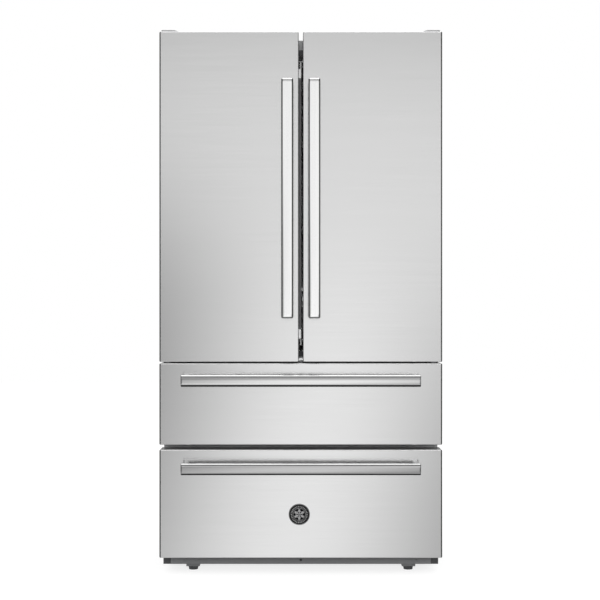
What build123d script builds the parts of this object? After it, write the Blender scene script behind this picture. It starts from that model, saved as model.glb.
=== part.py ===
from build123d import *
import math
import os

# Refrigerator with two hinged doors above two freezer drawers.
# Frame: +X right and +Y back as seen from the front, +Z up, origin on the floor under the middle of the
# whole box. Lengths are millimetres and angles are degrees.

# Door and drawer fronts
front_width = 908.0  # across both doors, and across each drawer front
front_thickness = 75.0
floor_gap = 59.0  # floor to the lower drawer front
lower_front_height = 347.0
drawer_gap = 16.0  # between the two drawer fronts
upper_front_height = 261.0
door_gap = 5.0  # between the upper drawer front and the doors
door_height = 1060.0
centre_gap = 14.0  # between the two doors
front_corner = 4.0  # corner radius seen from the front
front_edge = 2.5  # rounding round the front face
front_skin = 1.5  # steel of a front
front_liner = 2.5  # moulded inner panel of a front

# Case
case_depth = 610.0
case_inset = 6.0  # case side inside the edge of the fronts
door_rise = 11.0  # door tops above the case top
case_sheet = 1.0
case_liner = 2.5
side_wall = 50.0
top_wall = 50.0
bottom_wall = 56.0
middle_wall = 66.0  # between the fridge and the upper freezer bay
drawer_wall = 64.0  # between the two freezer bays
back_wall = 60.0
lower_back_wall = 45.0  # between the lower bay and the machine space
machine_depth = 200.0
machine_height = 215.0
machine_side_wall = 20.0  # foam left beside the machine space

# Door and drawer seals
seal_width = 18.0
seal_depth = 12.0
seal_gap = 0.3  # closed seal to the case face
seal_round = 3.0
seal_side_inset = 26.0  # from the outer edge of a front
seal_end_inset = 4.0  # from the other edges of a front
seal_top_inset = 18.0  # from the top of a door

# Raised parts of the inner panels
dike_height = 34.0
dike_width = 24.0
dike_clearance = 6.0  # to the bay's side
dike_end_clearance = 8.0  # to the bay's floor and ceiling
dike_free_edge = 60.0  # from the middle of the refrigerator
panel_height = 12.0  # raised panel of a drawer front
panel_inset = 110.0  # from the edges of a drawer front, at each end
panel_end_inset = 46.0  # from the edges of a drawer front, above and below

# Handles
handle_length = 761.0
handle_width = 38.0
handle_thickness = 22.0
handle_round = 6.0
handle_end_round = 4.0
handle_post_length = 20.0
handle_post_width = 30.0
handle_post_round = 3.0
handle_post_inset = 1.5  # from the ends of the bar
finger_gap = 36.0
door_handle_x = 43.0  # from the middle of the refrigerator
door_handle_drop = 158.5  # top of the bar below the top of the door
upper_handle_drop = 52.5  # middle of the bar below the top of the front
lower_handle_drop = 55.5

# Round badge on the lower drawer front
badge_diameter = 68.0
badge_thickness = 3.0
badge_rim = 4.0
badge_recess = 1.0
badge_height = 199.0  # centre above the floor
badge_shift = -5.0  # centre to the left of the middle

# Door hinges
hinge_inset = 24.0  # axis from the outer edge of a door
hinge_setback = 50.0  # axis behind the front face
pin_radius = 5.0
pin_length = 22.0  # inside the door
pin_clearance = 0.05
pin_relief = 1.0  # wider hole in the foam
hinge_plate = 4.0
hinge_arm_half = 15.0
hinge_lift = 1.5  # arm above the door top
hinge_foot_length = 90.0
hinge_foot_inset = 10.0  # foot behind the case face
middle_hinge_plate = 3.0
middle_hinge_drop = 44.0
middle_hinge_flange = 2.0
hinge_side_gap = 2.0  # middle hinge inside the case side
cover_wall = 2.5
cover_height = 21.0  # above the case top
cover_width = 88.0
cover_slope = 47.0  # run of its sloping inner end
cover_inset = 4.0  # from the outer edge of a door
cover_front_setback = 20.0  # behind the front face
cover_back = 120.0  # behind the case face

# Folding mullion carried by the left door
mullion_pivot_x = 46.0  # left of the middle
mullion_pivot_depth = 10.0  # behind the case face
mullion_left_reach = 7.0  # beyond the pivot
mullion_right_edge = 2.0  # right of the middle
mullion_thickness = 20.0
mullion_round = 2.0
mullion_cap_length = 30.0
mullion_top_gap = 73.0  # bar end below the fridge ceiling
mullion_bottom_gap = 72.0  # bar end above the fridge floor
mullion_nib_radius = 3.5
mullion_nib_length = 23.0
mullion_pin_radius = 3.0
mullion_pin_length = 16.0
mullion_lug_height = 12.0
mullion_lug_gap = 0.4  # between a lug and the cap beside it

# Door bins
bin_count = 3
bin_depth = 105.0
bin_height = 105.0
bin_wall = 2.5
bin_side_gap = 0.2
bin_first_height = 230.0  # lowest bin above the fridge floor
bin_pitch = 235.0
bin_front_drop = 25.0  # room-side wall lower than the back

# Shelves in the fridge bay
shelf_front = 156.0  # front edge behind the case face
shelf_rim = 14.0
shelf_rim_height = 16.0
shelf_glass = 4.0
shelf_ledge = 4.0
shelf_centre_gap = 6.0
shelf_side_gap = 6.0
shelf_back_gap = 2.0  # rim in front of the air tower
shelf_arm = 3.0
shelf_arm_drop = 30.0
shelf_lower_height = 420.0  # above the fridge floor
shelf_upper_height = 700.0
track_width = 16.0
track_thickness = 5.0
track_inner_x = 78.0
track_outer_inset = 22.0  # from the bay's side
track_end_gap = 60.0
track_bottom_gap = 260.0
track_slot_height = 12.0
track_slot_width = 6.0
track_pitch = 34.0

# Crispers
crisper_height = 190.0
crisper_front = 118.0  # front face behind the case face
crisper_back_gap = 32.0  # to the back of the bay
crisper_wall = 2.5
crisper_clearance = 0.3  # to the fridge floor
crisper_side_gap = 5.0
crisper_centre_gap = 5.0
crisper_lip = 14.0
crisper_lip_height = 22.0
cover_shelf_gap = 6.0  # crisper cover above the crispers
cover_shelf_side_gap = 0.3

# Fridge bay fittings
tower_width = 120.0
tower_thickness = 22.0
tower_end_gap = 40.0
tower_bottom_gap = 240.0
tower_vent_width = 60.0
tower_vent_height = 8.0
tower_vent_pitch = 90.0
control_width = 320.0
control_depth = 120.0
control_height = 22.0
control_round = 8.0
control_setback = 95.0

# Drawer runners
runner_height = 46.0
runner_depth = 14.0
runner_sheet = 2.0
runner_play = 0.4
runner_setback = 15.0
runner_strip = 20.0  # height of the strip that leaves the channel
runner_ledge = 18.0
runner_ledge_sheet = 3.0
runner_end_plate = 60.0
upper_runner_back_gap = 45.0  # runner's end to the back of the bay
lower_runner_back_gap = 30.0
upper_runner_drop = 60.0  # runner middle below the bay ceiling
lower_runner_drop = 70.0

# Freezer baskets
basket_wall = 3.0
basket_rim = 12.0
basket_rim_sheet = 4.0
basket_floor_gap = 18.0  # basket bottom above the bay floor
basket_front_gap = 30.0  # basket front behind the case face
basket_back_gap = 20.0  # basket end short of the runner's end
basket_side_play = 1.0
basket_round = 12.0

# Cooling parts behind the upper freezer bay
cooler_depth = 70.0
cooler_cover = 3.0
cooler_slot_width = 90.0
cooler_slot_height = 8.0
cooler_slot_count = 5
cooler_slot_pitch = 126.0
coil_width = 520.0
coil_height = 90.0
coil_depth = 42.0
coil_tube_radius = 4.0
coil_bend_radius = 5.0
coil_rows = 4
coil_fin_count = 18
coil_fin = 1.0
coil_rise = 14.0  # above the bay floor
cooler_fan_radius = 45.0
cooler_fan_gap = 3.0  # blade tips to the opening
cooler_fan_drop = 60.0  # axis below the bay ceiling

# Machine space
compressor_radius = 72.0
compressor_height = 150.0
compressor_dome = 40.0
compressor_foot_width = 190.0
compressor_foot_depth = 130.0
compressor_foot = 5.0
compressor_side_gap = 208.0  # axis from the case side
terminal_size = 40.0
terminal_reach = 20.0  # beyond the can
compressor_stub_offset = 20.0
compressor_stub_height = 20.0
condenser_side_gap = 98.0  # from the case side
condenser_length = 260.0
condenser_height = 130.0
condenser_depth = 90.0
condenser_rows = 5
condenser_fin_count = 16
condenser_lift = 12.0
machine_fan_radius = 62.0
machine_fan_gap = 60.0  # from the condenser to the fan's middle
machine_fan_height = 90.0  # axis above the machine floor
shroud_width = 170.0
shroud_height = 180.0
shroud_sheet = 4.0
machine_rear_gap = 100.0  # middle of the machines in front of the rear panel

# Fans
fan_hub_radius = 13.0
fan_hub_length = 20.0
fan_blade_count = 7
fan_blade_sheet = 2.0
fan_blade_width = 20.0
fan_blade_pitch = 32.0
fan_shaft_radius = 2.5
fan_shaft_clearance = 0.05
fan_motor_radius = 20.0
fan_motor_length = 28.0
fan_motor_gap = 2.0
fan_spoke = 6.0

# Base, legs and rollers
base_bottom = 26.0
base_height = 30.0
base_sheet = 2.0
leg_side_inset = 94.0
leg_setback = 28.0  # behind the case face
leg_stud_radius = 5.0
leg_stud_clearance = 0.05
leg_stud_length = 28.0
leg_boss_radius = 11.0
leg_pad_radius = 15.0
leg_pad_height = 5.0
leg_top_radius = 17.5
leg_body_height = 16.0
leg_rib_count = 12
leg_rib_radius = 1.2
leg_cheek_half = 22.0
leg_cheek_sheet = 2.0
leg_cheek_length = 44.0
leg_cheek_bottom = 12.5
roller_radius = 20.0
roller_width = 22.0
roller_groove = 3.0
roller_axle_radius = 4.0
roller_axle_clearance = 0.05
roller_cheek_gap = 1.5
roller_cheek_sheet = 3.0
roller_cheek_half = 12.0
roller_cheek_bottom = 10.0
roller_setback = 60.0  # in front of the rear panel

# Kick plate
kick_bottom = 22.5
kick_top = 58.0
kick_sheet = 3.0
kick_proud = 6.0  # front face ahead of the case face
kick_end_length = 25.0
kick_end_step = 3.0
kick_side_proud = 2.0  # beyond the case side
screw_head_radius = 4.0
screw_head_height = 2.0
screw_radius = 2.0
screw_clearance = 0.1
screw_length = 14.0
kick_screw_inset = 68.0
kick_screw_height = 36.0  # above the floor
rear_screw_inset = 7.0

# Rear panel
louvre_length = 70.0
louvre_height = 6.0
louvre_columns = 6
louvre_rows = 6
louvre_pitch_x = 100.0
louvre_pitch_z = 20.0
louvre_first_height = 70.0  # above the bottom of the panel
gland_radius = 8.0
gland_collar = 4.0
gland_collar_height = 2.0
gland_side_inset = 58.0
gland_height = 40.0

# Places along Z
lower_z0 = floor_gap
lower_z1 = lower_z0 + lower_front_height
upper_z0 = lower_z1 + drawer_gap
upper_z1 = upper_z0 + upper_front_height
door_z0 = upper_z1 + door_gap
door_z1 = door_z0 + door_height
case_z0 = base_bottom + base_height
case_z1 = door_z1 - door_rise
lower_bay_z0 = case_z0 + bottom_wall
lower_bay_z1 = (lower_z1 + upper_z0 - drawer_wall) / 2
upper_bay_z0 = lower_bay_z1 + drawer_wall
upper_bay_z1 = (upper_z1 + door_z0 - middle_wall) / 2
fridge_z0 = upper_bay_z1 + middle_wall
fridge_z1 = case_z1 - top_wall

# Places along Y: the middle of the whole depth, from the handles to the rear screws, is 0
front_gap = seal_depth + seal_gap
handle_reach = finger_gap + handle_thickness
whole_depth = handle_reach + front_thickness + front_gap + case_depth + screw_head_height
front_y = handle_reach - whole_depth / 2
front_back_y = front_y + front_thickness
case_y = front_back_y + front_gap
rear_y = case_y + case_depth
bay_back_y = rear_y - back_wall
lower_back_y = rear_y - machine_depth - lower_back_wall
cooler_y = bay_back_y - cooler_depth
machine_y = rear_y - machine_rear_gap

# Places along X
front_half = front_width / 2
door_free_x = centre_gap / 2
case_half = front_half - case_inset
bay_half = case_half - side_wall
hinge_x = front_half - hinge_inset
hinge_y = front_y + hinge_setback
compressor_x = case_half - compressor_side_gap
condenser_x0 = condenser_side_gap - case_half
condenser_x1 = condenser_x0 + condenser_length
machine_fan_x = condenser_x1 + machine_fan_gap
leg_x = case_half - leg_side_inset
gland_x = case_half - gland_side_inset
kick_screw_x = case_half - kick_screw_inset


def block(x0, x1, y0, y1, z0, z1):
    """Box between two corners given in any order."""
    size = (abs(x1 - x0), abs(y1 - y0), abs(z1 - z0))
    return Pos((x0 + x1) / 2, (y0 + y1) / 2, (z0 + z1) / 2) * Box(*size)


def rod_z(x, y, z0, z1, radius):
    return Pos(x, y, (z0 + z1) / 2) * Cylinder(radius, abs(z1 - z0))


def rod_y(x, z, y0, y1, radius):
    return Pos(x, (y0 + y1) / 2, z) * Rot(90, 0, 0) * Cylinder(radius, abs(y1 - y0))


def rod_x(y, z, x0, x1, radius):
    return Pos((x0 + x1) / 2, y, z) * Rot(0, 90, 0) * Cylinder(radius, abs(x1 - x0))


def joined(pieces):
    """One solid from pieces that touch or overlap."""
    first, *rest = pieces
    return first.fuse(*rest).clean() if rest else first


def group(pieces):
    """Separate solids kept in one node."""
    return Compound(children=list(pieces))


def tray(x0, x1, y0, y1, z0, z1, wall):
    """Open box with a floor and four walls."""
    return block(x0, x1, y0, y1, z0, z1) - block(
        x0 + wall, x1 - wall, y0 + wall, y1 - wall, z0 + wall, z1 + wall
    )


def both_sides(make):
    """The same piece made for the left side (-1) and the right side (+1)."""
    return group([make(-1), make(1)])


# Fronts: steel skin, foam and moulded inner panel


def front_blank(x0, x1, z0, z1):
    """Outside form of a door or drawer front, rounded at its corners and front edges."""
    blank = block(x0, x1, front_y, front_back_y, z0, z1)
    blank = fillet(blank.edges().filter_by(Axis.Y), front_corner)
    return fillet(blank.faces().sort_by(Axis.Y)[0].edges(), front_edge)


def front_filling(x0, x1, z0, z1, y0, y1):
    """Form of the space inside the steel skin of a front, between two depths."""
    filling = block(
        min(x0, x1) + front_skin, max(x0, x1) - front_skin, y0, y1, z0 + front_skin, z1 - front_skin
    )
    return fillet(filling.edges().filter_by(Axis.Y), front_corner - front_skin)


def front_space(x0, x1, z0, z1, y1):
    """The whole space inside the steel skin of a front, rounded to follow its front edges."""
    space = front_filling(x0, x1, z0, z1, front_y + front_skin, y1)
    return fillet(space.faces().sort_by(Axis.Y)[0].edges(), front_edge - front_skin)


def front_pieces(x0, x1, z0, z1, raised_outside, raised_inside):
    """Skin, insulation and inner panel of a front whose panel has a raised form on its back."""
    liner_y = front_back_y - front_liner
    skin = front_blank(x0, x1, z0, z1) - front_space(x0, x1, z0, z1, front_back_y)
    foam = front_space(x0, x1, z0, z1, liner_y) + raised_inside
    liner = front_filling(x0, x1, z0, z1, liner_y, front_back_y) + raised_outside - raised_inside
    return skin, foam, liner


def dike(side, shrink, back_y):
    """Ring raised on the back of a door's inner panel, drawn in by shrink on every side."""
    outer = bay_half - dike_clearance - shrink
    inner = dike_free_edge + shrink
    z0 = fridge_z0 + dike_end_clearance + shrink
    z1 = fridge_z1 - dike_end_clearance - shrink
    wall = dike_width - 2 * shrink
    start_y = front_back_y - front_liner
    hole = block(side * (inner + wall), side * (outer - wall), start_y, back_y, z0 + wall, z1 - wall)
    return block(side * inner, side * outer, start_y, back_y, z0, z1) - hole


def door_pieces(side):
    """Skin, insulation and inner panel of one door, with its two hinge holes."""
    x0, x1 = side * door_free_x, side * front_half
    outside = dike(side, 0, front_back_y + dike_height)
    inside = dike(side, front_liner, front_back_y + dike_height - front_liner)
    skin, foam, liner = front_pieces(x0, x1, door_z0, door_z1, outside, inside)
    for end_z, inward in ((door_z0, 1), (door_z1, -1)):
        far_z = end_z + inward * (pin_length + pin_relief)
        skin -= rod_z(side * hinge_x, hinge_y, end_z, far_z, pin_radius + pin_clearance)
        foam -= rod_z(side * hinge_x, hinge_y, end_z, far_z, pin_radius + pin_relief)
    return skin, foam, liner


def drawer_pieces(z0, z1):
    """Skin, insulation and inner panel of one drawer front, with a raised field on its back."""
    half = front_half - panel_inset

    def field(shrink, back_y):
        return block(
            shrink - half,
            half - shrink,
            front_back_y - front_liner,
            back_y,
            z0 + panel_end_inset + shrink,
            z1 - panel_end_inset - shrink,
        )

    outside = field(0, front_back_y + panel_height)
    inside = field(front_liner, front_back_y + panel_height - front_liner)
    return front_pieces(-front_half, front_half, z0, z1, outside, inside)


def seal(x0, x1, z0, z1):
    """Soft ring on the back of a front, rounded where it meets the case."""
    outer = block(x0, x1, front_back_y, front_back_y + seal_depth, z0, z1)
    inner = block(
        min(x0, x1) + seal_width,
        max(x0, x1) - seal_width,
        front_back_y,
        front_back_y + seal_depth,
        z0 + seal_width,
        z1 - seal_width,
    )
    ring = outer - inner
    return fillet(ring.faces().sort_by(Axis.Y)[-1].edges(), seal_round)


def door_seal(side):
    x0 = side * (door_free_x + seal_end_inset)
    x1 = side * (front_half - seal_side_inset)
    return seal(x0, x1, door_z0 + seal_end_inset, door_z1 - seal_top_inset)


def drawer_seal(z0, z1):
    half = front_half - seal_side_inset
    return seal(-half, half, z0 + seal_end_inset, z1 - seal_end_inset)


# Handles and badge


def handle_bar(width_x, width_z, x, z):
    """Bar in front of a front, long along X or Z, with rounded edges and ends."""
    y0 = front_y - handle_reach
    bar = block(x - width_x / 2, x + width_x / 2, y0, front_y - finger_gap, z - width_z / 2, z + width_z / 2)
    along = Axis.X if width_x > width_z else Axis.Z
    bar = fillet(bar.edges().filter_by(along), handle_round)
    ends = bar.faces().sort_by(along)
    return fillet(ends[0].edges() + ends[-1].edges(), handle_end_round)


def handle_post(width_x, width_z, x, z):
    """Post that carries one end of a bar on the steel."""
    y0, y1 = front_y - finger_gap, front_y
    post = block(x - width_x / 2, x + width_x / 2, y0, y1, z - width_z / 2, z + width_z / 2)
    return fillet(post.edges().filter_by(Axis.Y), handle_post_round)


def post_offset():
    return handle_length / 2 - handle_post_inset - handle_post_length / 2


def door_handle(side):
    x = side * door_handle_x
    z = door_z1 - door_handle_drop - handle_length / 2
    posts = [
        handle_post(handle_post_width, handle_post_length, x, z + end * post_offset()) for end in (-1, 1)
    ]
    return group([handle_bar(handle_width, handle_length, x, z), *posts])


def drawer_handle(z):
    posts = [handle_post(handle_post_length, handle_post_width, end * post_offset(), z) for end in (-1, 1)]
    return group([handle_bar(handle_length, handle_width, 0, z), *posts])


def badge():
    """Plain round plate with a raised rim, and no marks."""
    y0 = front_y - badge_thickness
    plate = rod_y(badge_shift, badge_height, y0, front_y, badge_diameter / 2)
    return plate - rod_y(badge_shift, badge_height, y0, y0 + badge_recess, badge_diameter / 2 - badge_rim)


# Case


def bay(half, y1, z0, z1, grow):
    """Space of a bay, grown by the wall of its liner."""
    return block(-half - grow, half + grow, case_y + case_sheet, y1 + grow, z0 - grow, z1 + grow)


def bays(grow):
    return [
        bay(bay_half, bay_back_y, fridge_z0, fridge_z1, grow),
        bay(bay_half, bay_back_y, upper_bay_z0, upper_bay_z1, grow),
        bay(bay_half, lower_back_y, lower_bay_z0, lower_bay_z1, grow),
    ]


def outer_case():
    """Steel wrapper of sides and top, with the face that the seals close on."""
    wrapper = block(-case_half, case_half, case_y, rear_y - case_sheet, case_z0, case_z1)
    wrapper -= block(
        case_sheet - case_half,
        case_half - case_sheet,
        case_y + case_sheet,
        rear_y,
        case_z0 - case_sheet,
        case_z1 - case_sheet,
    )
    for z0, z1 in ((fridge_z0, fridge_z1), (upper_bay_z0, upper_bay_z1), (lower_bay_z0, lower_bay_z1)):
        wrapper -= block(-bay_half, bay_half, case_y, case_y + case_sheet, z0, z1)
    return wrapper


def cabinet_insulation():
    """Foam between the wrapper and the liners, cut away for the machine space."""
    foam = block(
        case_sheet - case_half,
        case_half - case_sheet,
        case_y + case_sheet,
        rear_y - case_sheet,
        case_z0,
        case_z1 - case_sheet,
    )
    foam -= bays(case_liner)
    half = case_half - machine_side_wall
    return foam - block(-half, half, rear_y - machine_depth, rear_y, case_z0, case_z0 + machine_height)


def liners():
    """Moulded shells of the fridge bay and of the two freezer bays."""
    fridge, upper, lower = [outer - inner for outer, inner in zip(bays(case_liner), bays(0))]
    return fridge, group([upper, lower])


def rear_panel():
    """Back sheet with air slots over the machine space and the collar of the cord's way out."""
    sheet = block(-case_half, case_half, rear_y - case_sheet, rear_y, case_z0, case_z1)
    slots = []
    for column in range(louvre_columns):
        for row in range(louvre_rows):
            x = (column - (louvre_columns - 1) / 2) * louvre_pitch_x
            z = case_z0 + louvre_first_height + row * louvre_pitch_z
            half = louvre_length / 2
            slots.append(block(x - half, x + half, rear_y - case_sheet, rear_y, z, z + louvre_height))
    sheet -= slots
    gland_z = case_z0 + gland_height
    outer_radius = gland_radius + gland_collar
    sheet += rod_y(gland_x, gland_z, rear_y - case_sheet - gland_collar_height, rear_y, outer_radius)
    sheet -= rod_y(gland_x, gland_z, rear_y - case_sheet - gland_collar_height, rear_y, gland_radius)
    for x, z in rear_screw_places():
        sheet -= rod_y(x, z, rear_y - case_sheet, rear_y, screw_radius + screw_clearance)
    return sheet


def rear_screw_places():
    x = case_half - rear_screw_inset - case_sheet
    heights = (fridge_z1, (fridge_z0 + fridge_z1) / 2, (upper_bay_z0 + upper_bay_z1) / 2)
    return [(side * x, z) for z in heights for side in (-1, 1)]


# Door hinges and their covers


def top_hinge(side):
    """Bracket on the case top whose arm carries the door's upper pin."""
    inner_x, outer_x = side * (hinge_x - hinge_arm_half), side * (hinge_x + hinge_arm_half)
    foot_y = case_y + hinge_foot_inset
    arm_z0 = door_z1 + hinge_lift
    arm_z1 = arm_z0 + hinge_plate
    foot = block(inner_x, outer_x, foot_y, foot_y + hinge_foot_length, case_z1, case_z1 + hinge_plate)
    riser = block(inner_x, outer_x, foot_y, foot_y + hinge_plate, case_z1, arm_z1)
    arm = block(inner_x, outer_x, hinge_y, foot_y + hinge_plate, arm_z0, arm_z1)
    nose = rod_z(side * hinge_x, hinge_y, arm_z0, arm_z1, hinge_arm_half)
    pin = rod_z(side * hinge_x, hinge_y, door_z1 - pin_length, arm_z1, pin_radius)
    return joined([foot, riser, arm, nose, pin])


def middle_hinge(side):
    """Thin bracket in the gap under a door, with the door's lower pin."""
    inner_x, outer_x = side * (hinge_x - hinge_arm_half), side * (case_half - hinge_side_gap)
    plate_z0 = upper_z1 + (door_gap - middle_hinge_plate) / 2
    plate_z1 = plate_z0 + middle_hinge_plate
    flange_x = side * (front_half - seal_side_inset + hinge_side_gap / 2)
    plate = block(inner_x, outer_x, hinge_y, case_y, plate_z0, plate_z1)
    nose = rod_z(side * hinge_x, hinge_y, plate_z0, plate_z1, hinge_arm_half)
    flange = block(
        flange_x, outer_x, case_y - middle_hinge_flange, case_y, plate_z0 - middle_hinge_drop, plate_z1
    )
    pin = rod_z(side * hinge_x, hinge_y, plate_z0, door_z0 + pin_length, pin_radius)
    return joined([plate, nose, flange, pin])


def door_hinges():
    return group([make(side) for make in (top_hinge, middle_hinge) for side in (-1, 1)])


def cover_profile(side, shrink, z0):
    """Outline of a hinge cover seen from the front, with its sloping inner end."""
    outer = front_half - cover_inset - shrink
    inner = front_half - cover_inset - cover_width + shrink
    top = case_z1 + cover_height - shrink
    toe = case_z1 + (door_rise + hinge_lift) / 2 - shrink
    points = [(outer, z0), (outer, top), (inner + cover_slope, top), (inner, toe), (inner, z0)]
    return make_face(Polyline(*[(side * x, z) for x, z in points], close=True))


def hinge_cover(side):
    """Moulded cap over a top hinge, hollow below, clear of the door that turns under it."""
    y0, y1 = front_y + cover_front_setback, case_y + cover_back
    plane = Plane(origin=(0, y1, 0), x_dir=(1, 0, 0), z_dir=(0, -1, 0))
    inner_plane = Plane(origin=(0, y1 - cover_wall, 0), x_dir=(1, 0, 0), z_dir=(0, -1, 0))
    shell = extrude(plane * cover_profile(side, 0, case_z1), y1 - y0)
    hollow = extrude(inner_plane * cover_profile(side, cover_wall, case_z1), y1 - y0 - 2 * cover_wall)
    over_door = block(-front_width, front_width, y0, case_y, case_z1, door_z1 + hinge_lift / 2)
    return shell - hollow - over_door


# Mullion on the left door


def mullion_span():
    return fridge_z0 + mullion_bottom_gap, fridge_z1 - mullion_top_gap


def mullion_section(z0, z1):
    x0, x1 = -mullion_pivot_x - mullion_left_reach, mullion_right_edge
    bar = block(x0, x1, case_y, case_y + mullion_thickness, z0, z1)
    return fillet(bar.edges().filter_by(Axis.Z), mullion_round)


def mullion_bar():
    return mullion_section(*mullion_span())


def mullion_caps():
    """Moulded ends of the mullion, each with a guide nib and the bore of its hinge pin."""
    z0, z1 = mullion_span()
    pivot_y = case_y + mullion_pivot_depth
    caps = []
    for end_z, outward in ((z0, -1), (z1, 1)):
        tip_z = end_z + outward * mullion_cap_length
        cap = mullion_section(min(end_z, tip_z), max(end_z, tip_z))
        cap += rod_z(0, pivot_y, end_z, tip_z + outward * mullion_nib_length, mullion_nib_radius)
        bore_z = tip_z - outward * (mullion_pin_length + pin_relief)
        caps.append(cap - rod_z(-mullion_pivot_x, pivot_y, bore_z, tip_z, mullion_pin_radius + pin_clearance))
    return group(caps)


def mullion_lugs():
    """Lugs moulded on the left door's inner panel, with the pins that the mullion turns on."""
    z0, z1 = mullion_span()
    pivot_y = case_y + mullion_pivot_depth
    half = mullion_left_reach
    pieces = []
    for end_z, outward in ((z0, -1), (z1, 1)):
        near_z = end_z + outward * (mullion_cap_length + mullion_lug_gap)
        far_z = near_z + outward * mullion_lug_height
        pin_z = near_z - outward * mullion_pin_length
        pieces.append(block(-dike_free_edge, -mullion_pivot_x, pivot_y - half, pivot_y + half, near_z, far_z))
        pieces.append(rod_z(-mullion_pivot_x, pivot_y, near_z, far_z, half))
        pieces.append(rod_z(-mullion_pivot_x, pivot_y, pin_z, far_z, mullion_pin_radius))
    return pieces


# Inside the fridge bay


def door_bins(side):
    """Open bins held between the walls of a door's dike."""
    outer = bay_half - dike_clearance - dike_width - bin_side_gap
    inner = dike_free_edge + dike_width + bin_side_gap
    x0, x1 = sorted((side * inner, side * outer))
    bins = []
    for step in range(bin_count):
        z0 = fridge_z0 + bin_first_height + step * bin_pitch
        z1 = z0 + bin_height
        y0, y1 = front_back_y, front_back_y + bin_depth
        open_box = tray(x0, x1, y0, y1, z0, z1, bin_wall)
        bins.append(open_box - block(x0, x1, y1 - bin_wall, y1, z1 - bin_front_drop, z1))
    return group(bins)


def shelf_span(side):
    inner, outer = shelf_centre_gap / 2, bay_half - shelf_side_gap
    return sorted((side * inner, side * outer))


def rim_and_glass(x0, x1, y0, y1, z1):
    """Rectangular rim with a ledge, and the glass that lies on the ledge."""
    z0 = z1 - shelf_rim_height
    inset = shelf_rim - shelf_ledge
    glass_z0 = z1 - shelf_glass
    glass = block(x0 + inset, x1 - inset, y0 + inset, y1 - inset, glass_z0, z1)
    hole = block(x0 + shelf_rim, x1 - shelf_rim, y0 + shelf_rim, y1 - shelf_rim, z0, z1)
    return block(x0, x1, y0, y1, z0, z1) - hole - glass, glass


def track_places():
    return [side * x for x in (track_inner_x, bay_half - track_outer_inset) for side in (-1, 1)]


def shelf_levels():
    return fridge_z0 + shelf_lower_height, fridge_z0 + shelf_upper_height


def half_shelf(side, z1):
    """Rim with two arms that reach back to the tracks, and its glass."""
    y0 = case_y + shelf_front
    y1 = bay_back_y - tower_thickness - shelf_back_gap
    arm_y0, arm_y1 = (y0 + y1) / 2, bay_back_y - track_thickness
    x0, x1 = shelf_span(side)
    rim, glass = rim_and_glass(x0, x1, y0, y1, z1)
    z0 = z1 - shelf_rim_height
    half = shelf_arm / 2
    arms = [
        block(x - half, x + half, arm_y0, arm_y1, z0 - shelf_arm_drop, z0)
        for x in track_places()
        if x * side > 0
    ]
    return joined([rim, *arms]), glass


def crisper_top():
    return fridge_z0 + crisper_clearance + crisper_height


def crisper_cover():
    """Full-width shelf over the crispers."""
    half = bay_half - cover_shelf_side_gap
    z1 = crisper_top() + cover_shelf_gap + shelf_rim_height
    return rim_and_glass(-half, half, case_y + crisper_front, bay_back_y - track_thickness, z1)


def shelves():
    """Frames and glasses of the half shelves and of the crisper cover."""
    pairs = [half_shelf(side, z) for z in shelf_levels() for side in (-1, 1)]
    pairs.append(crisper_cover())
    return group([rim for rim, _ in pairs]), group([glass for _, glass in pairs])


def shelf_tracks():
    """Slotted strips on the back wall that carry the shelves."""
    z0, z1 = fridge_z0 + track_bottom_gap, fridge_z1 - track_end_gap
    y0, y1 = bay_back_y - track_thickness, bay_back_y
    tracks = []
    for x in track_places():
        strip = block(x - track_width / 2, x + track_width / 2, y0, y1, z0, z1)
        steps = int((z1 - z0 - track_pitch) / track_pitch)
        half = track_slot_width / 2
        strip -= [
            block(x - half, x + half, y0, y1, z, z + track_slot_height)
            for z in [z0 + track_pitch * (step + 1) for step in range(steps)]
        ]
        tracks.append(strip)
    return group(tracks)


def crisper(side):
    """Open drawer on the fridge floor, with a lip to pull it by."""
    x0, x1 = sorted((side * crisper_centre_gap / 2, side * (bay_half - crisper_side_gap)))
    y0 = case_y + crisper_front
    z0 = fridge_z0 + crisper_clearance
    z1 = z0 + crisper_height
    box = tray(x0, x1, y0, bay_back_y - crisper_back_gap, z0, z1, crisper_wall)
    lip = block(x0, x1, y0 - crisper_lip, y0, z1 - crisper_wall, z1)
    drop = block(x0, x1, y0 - crisper_lip, y0 - crisper_lip + crisper_wall, z1 - crisper_lip_height, z1)
    return joined([box, lip, drop])


def air_tower():
    """Duct cover in the middle of the back wall, with its air slots."""
    half = tower_width / 2
    z0, z1 = fridge_z0 + tower_bottom_gap, fridge_z1 - tower_end_gap
    y0 = bay_back_y - tower_thickness
    tower = block(-half, half, y0, bay_back_y, z0, z1)
    hollow = tower_thickness / 2
    tower -= block(hollow - half, half - hollow, y0 + case_liner, bay_back_y, z0 + hollow, z1 - hollow)
    count = int((z1 - z0 - tower_vent_pitch) / tower_vent_pitch)
    width = tower_vent_width / 2
    heights = [z0 + tower_vent_pitch * (step + 1) for step in range(count)]
    return tower - [block(-width, width, y0, y0 + case_liner, z, z + tower_vent_height) for z in heights]


def control_panel():
    """Control and lamp housing under the ceiling of the fridge bay."""
    y0 = case_y + control_setback
    half = control_width / 2
    housing = block(-half, half, y0, y0 + control_depth, fridge_z1 - control_height, fridge_z1)
    return fillet(housing.faces().sort_by(Axis.Z)[0].edges(), control_round)


# Drawer runners and baskets


def channel(side, x_web, depth, z, height, y0, y1):
    """Channel that opens towards the middle of the refrigerator."""
    outer = block(side * x_web, side * (x_web - depth), y0, y1, z - height / 2, z + height / 2)
    inner_half = height / 2 - runner_sheet
    return outer - block(
        side * (x_web - runner_sheet), side * (x_web - depth), y0, y1, z - inner_half, z + inner_half
    )


def runner_y(length):
    return case_y + runner_setback, case_y + runner_setback + length


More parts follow.
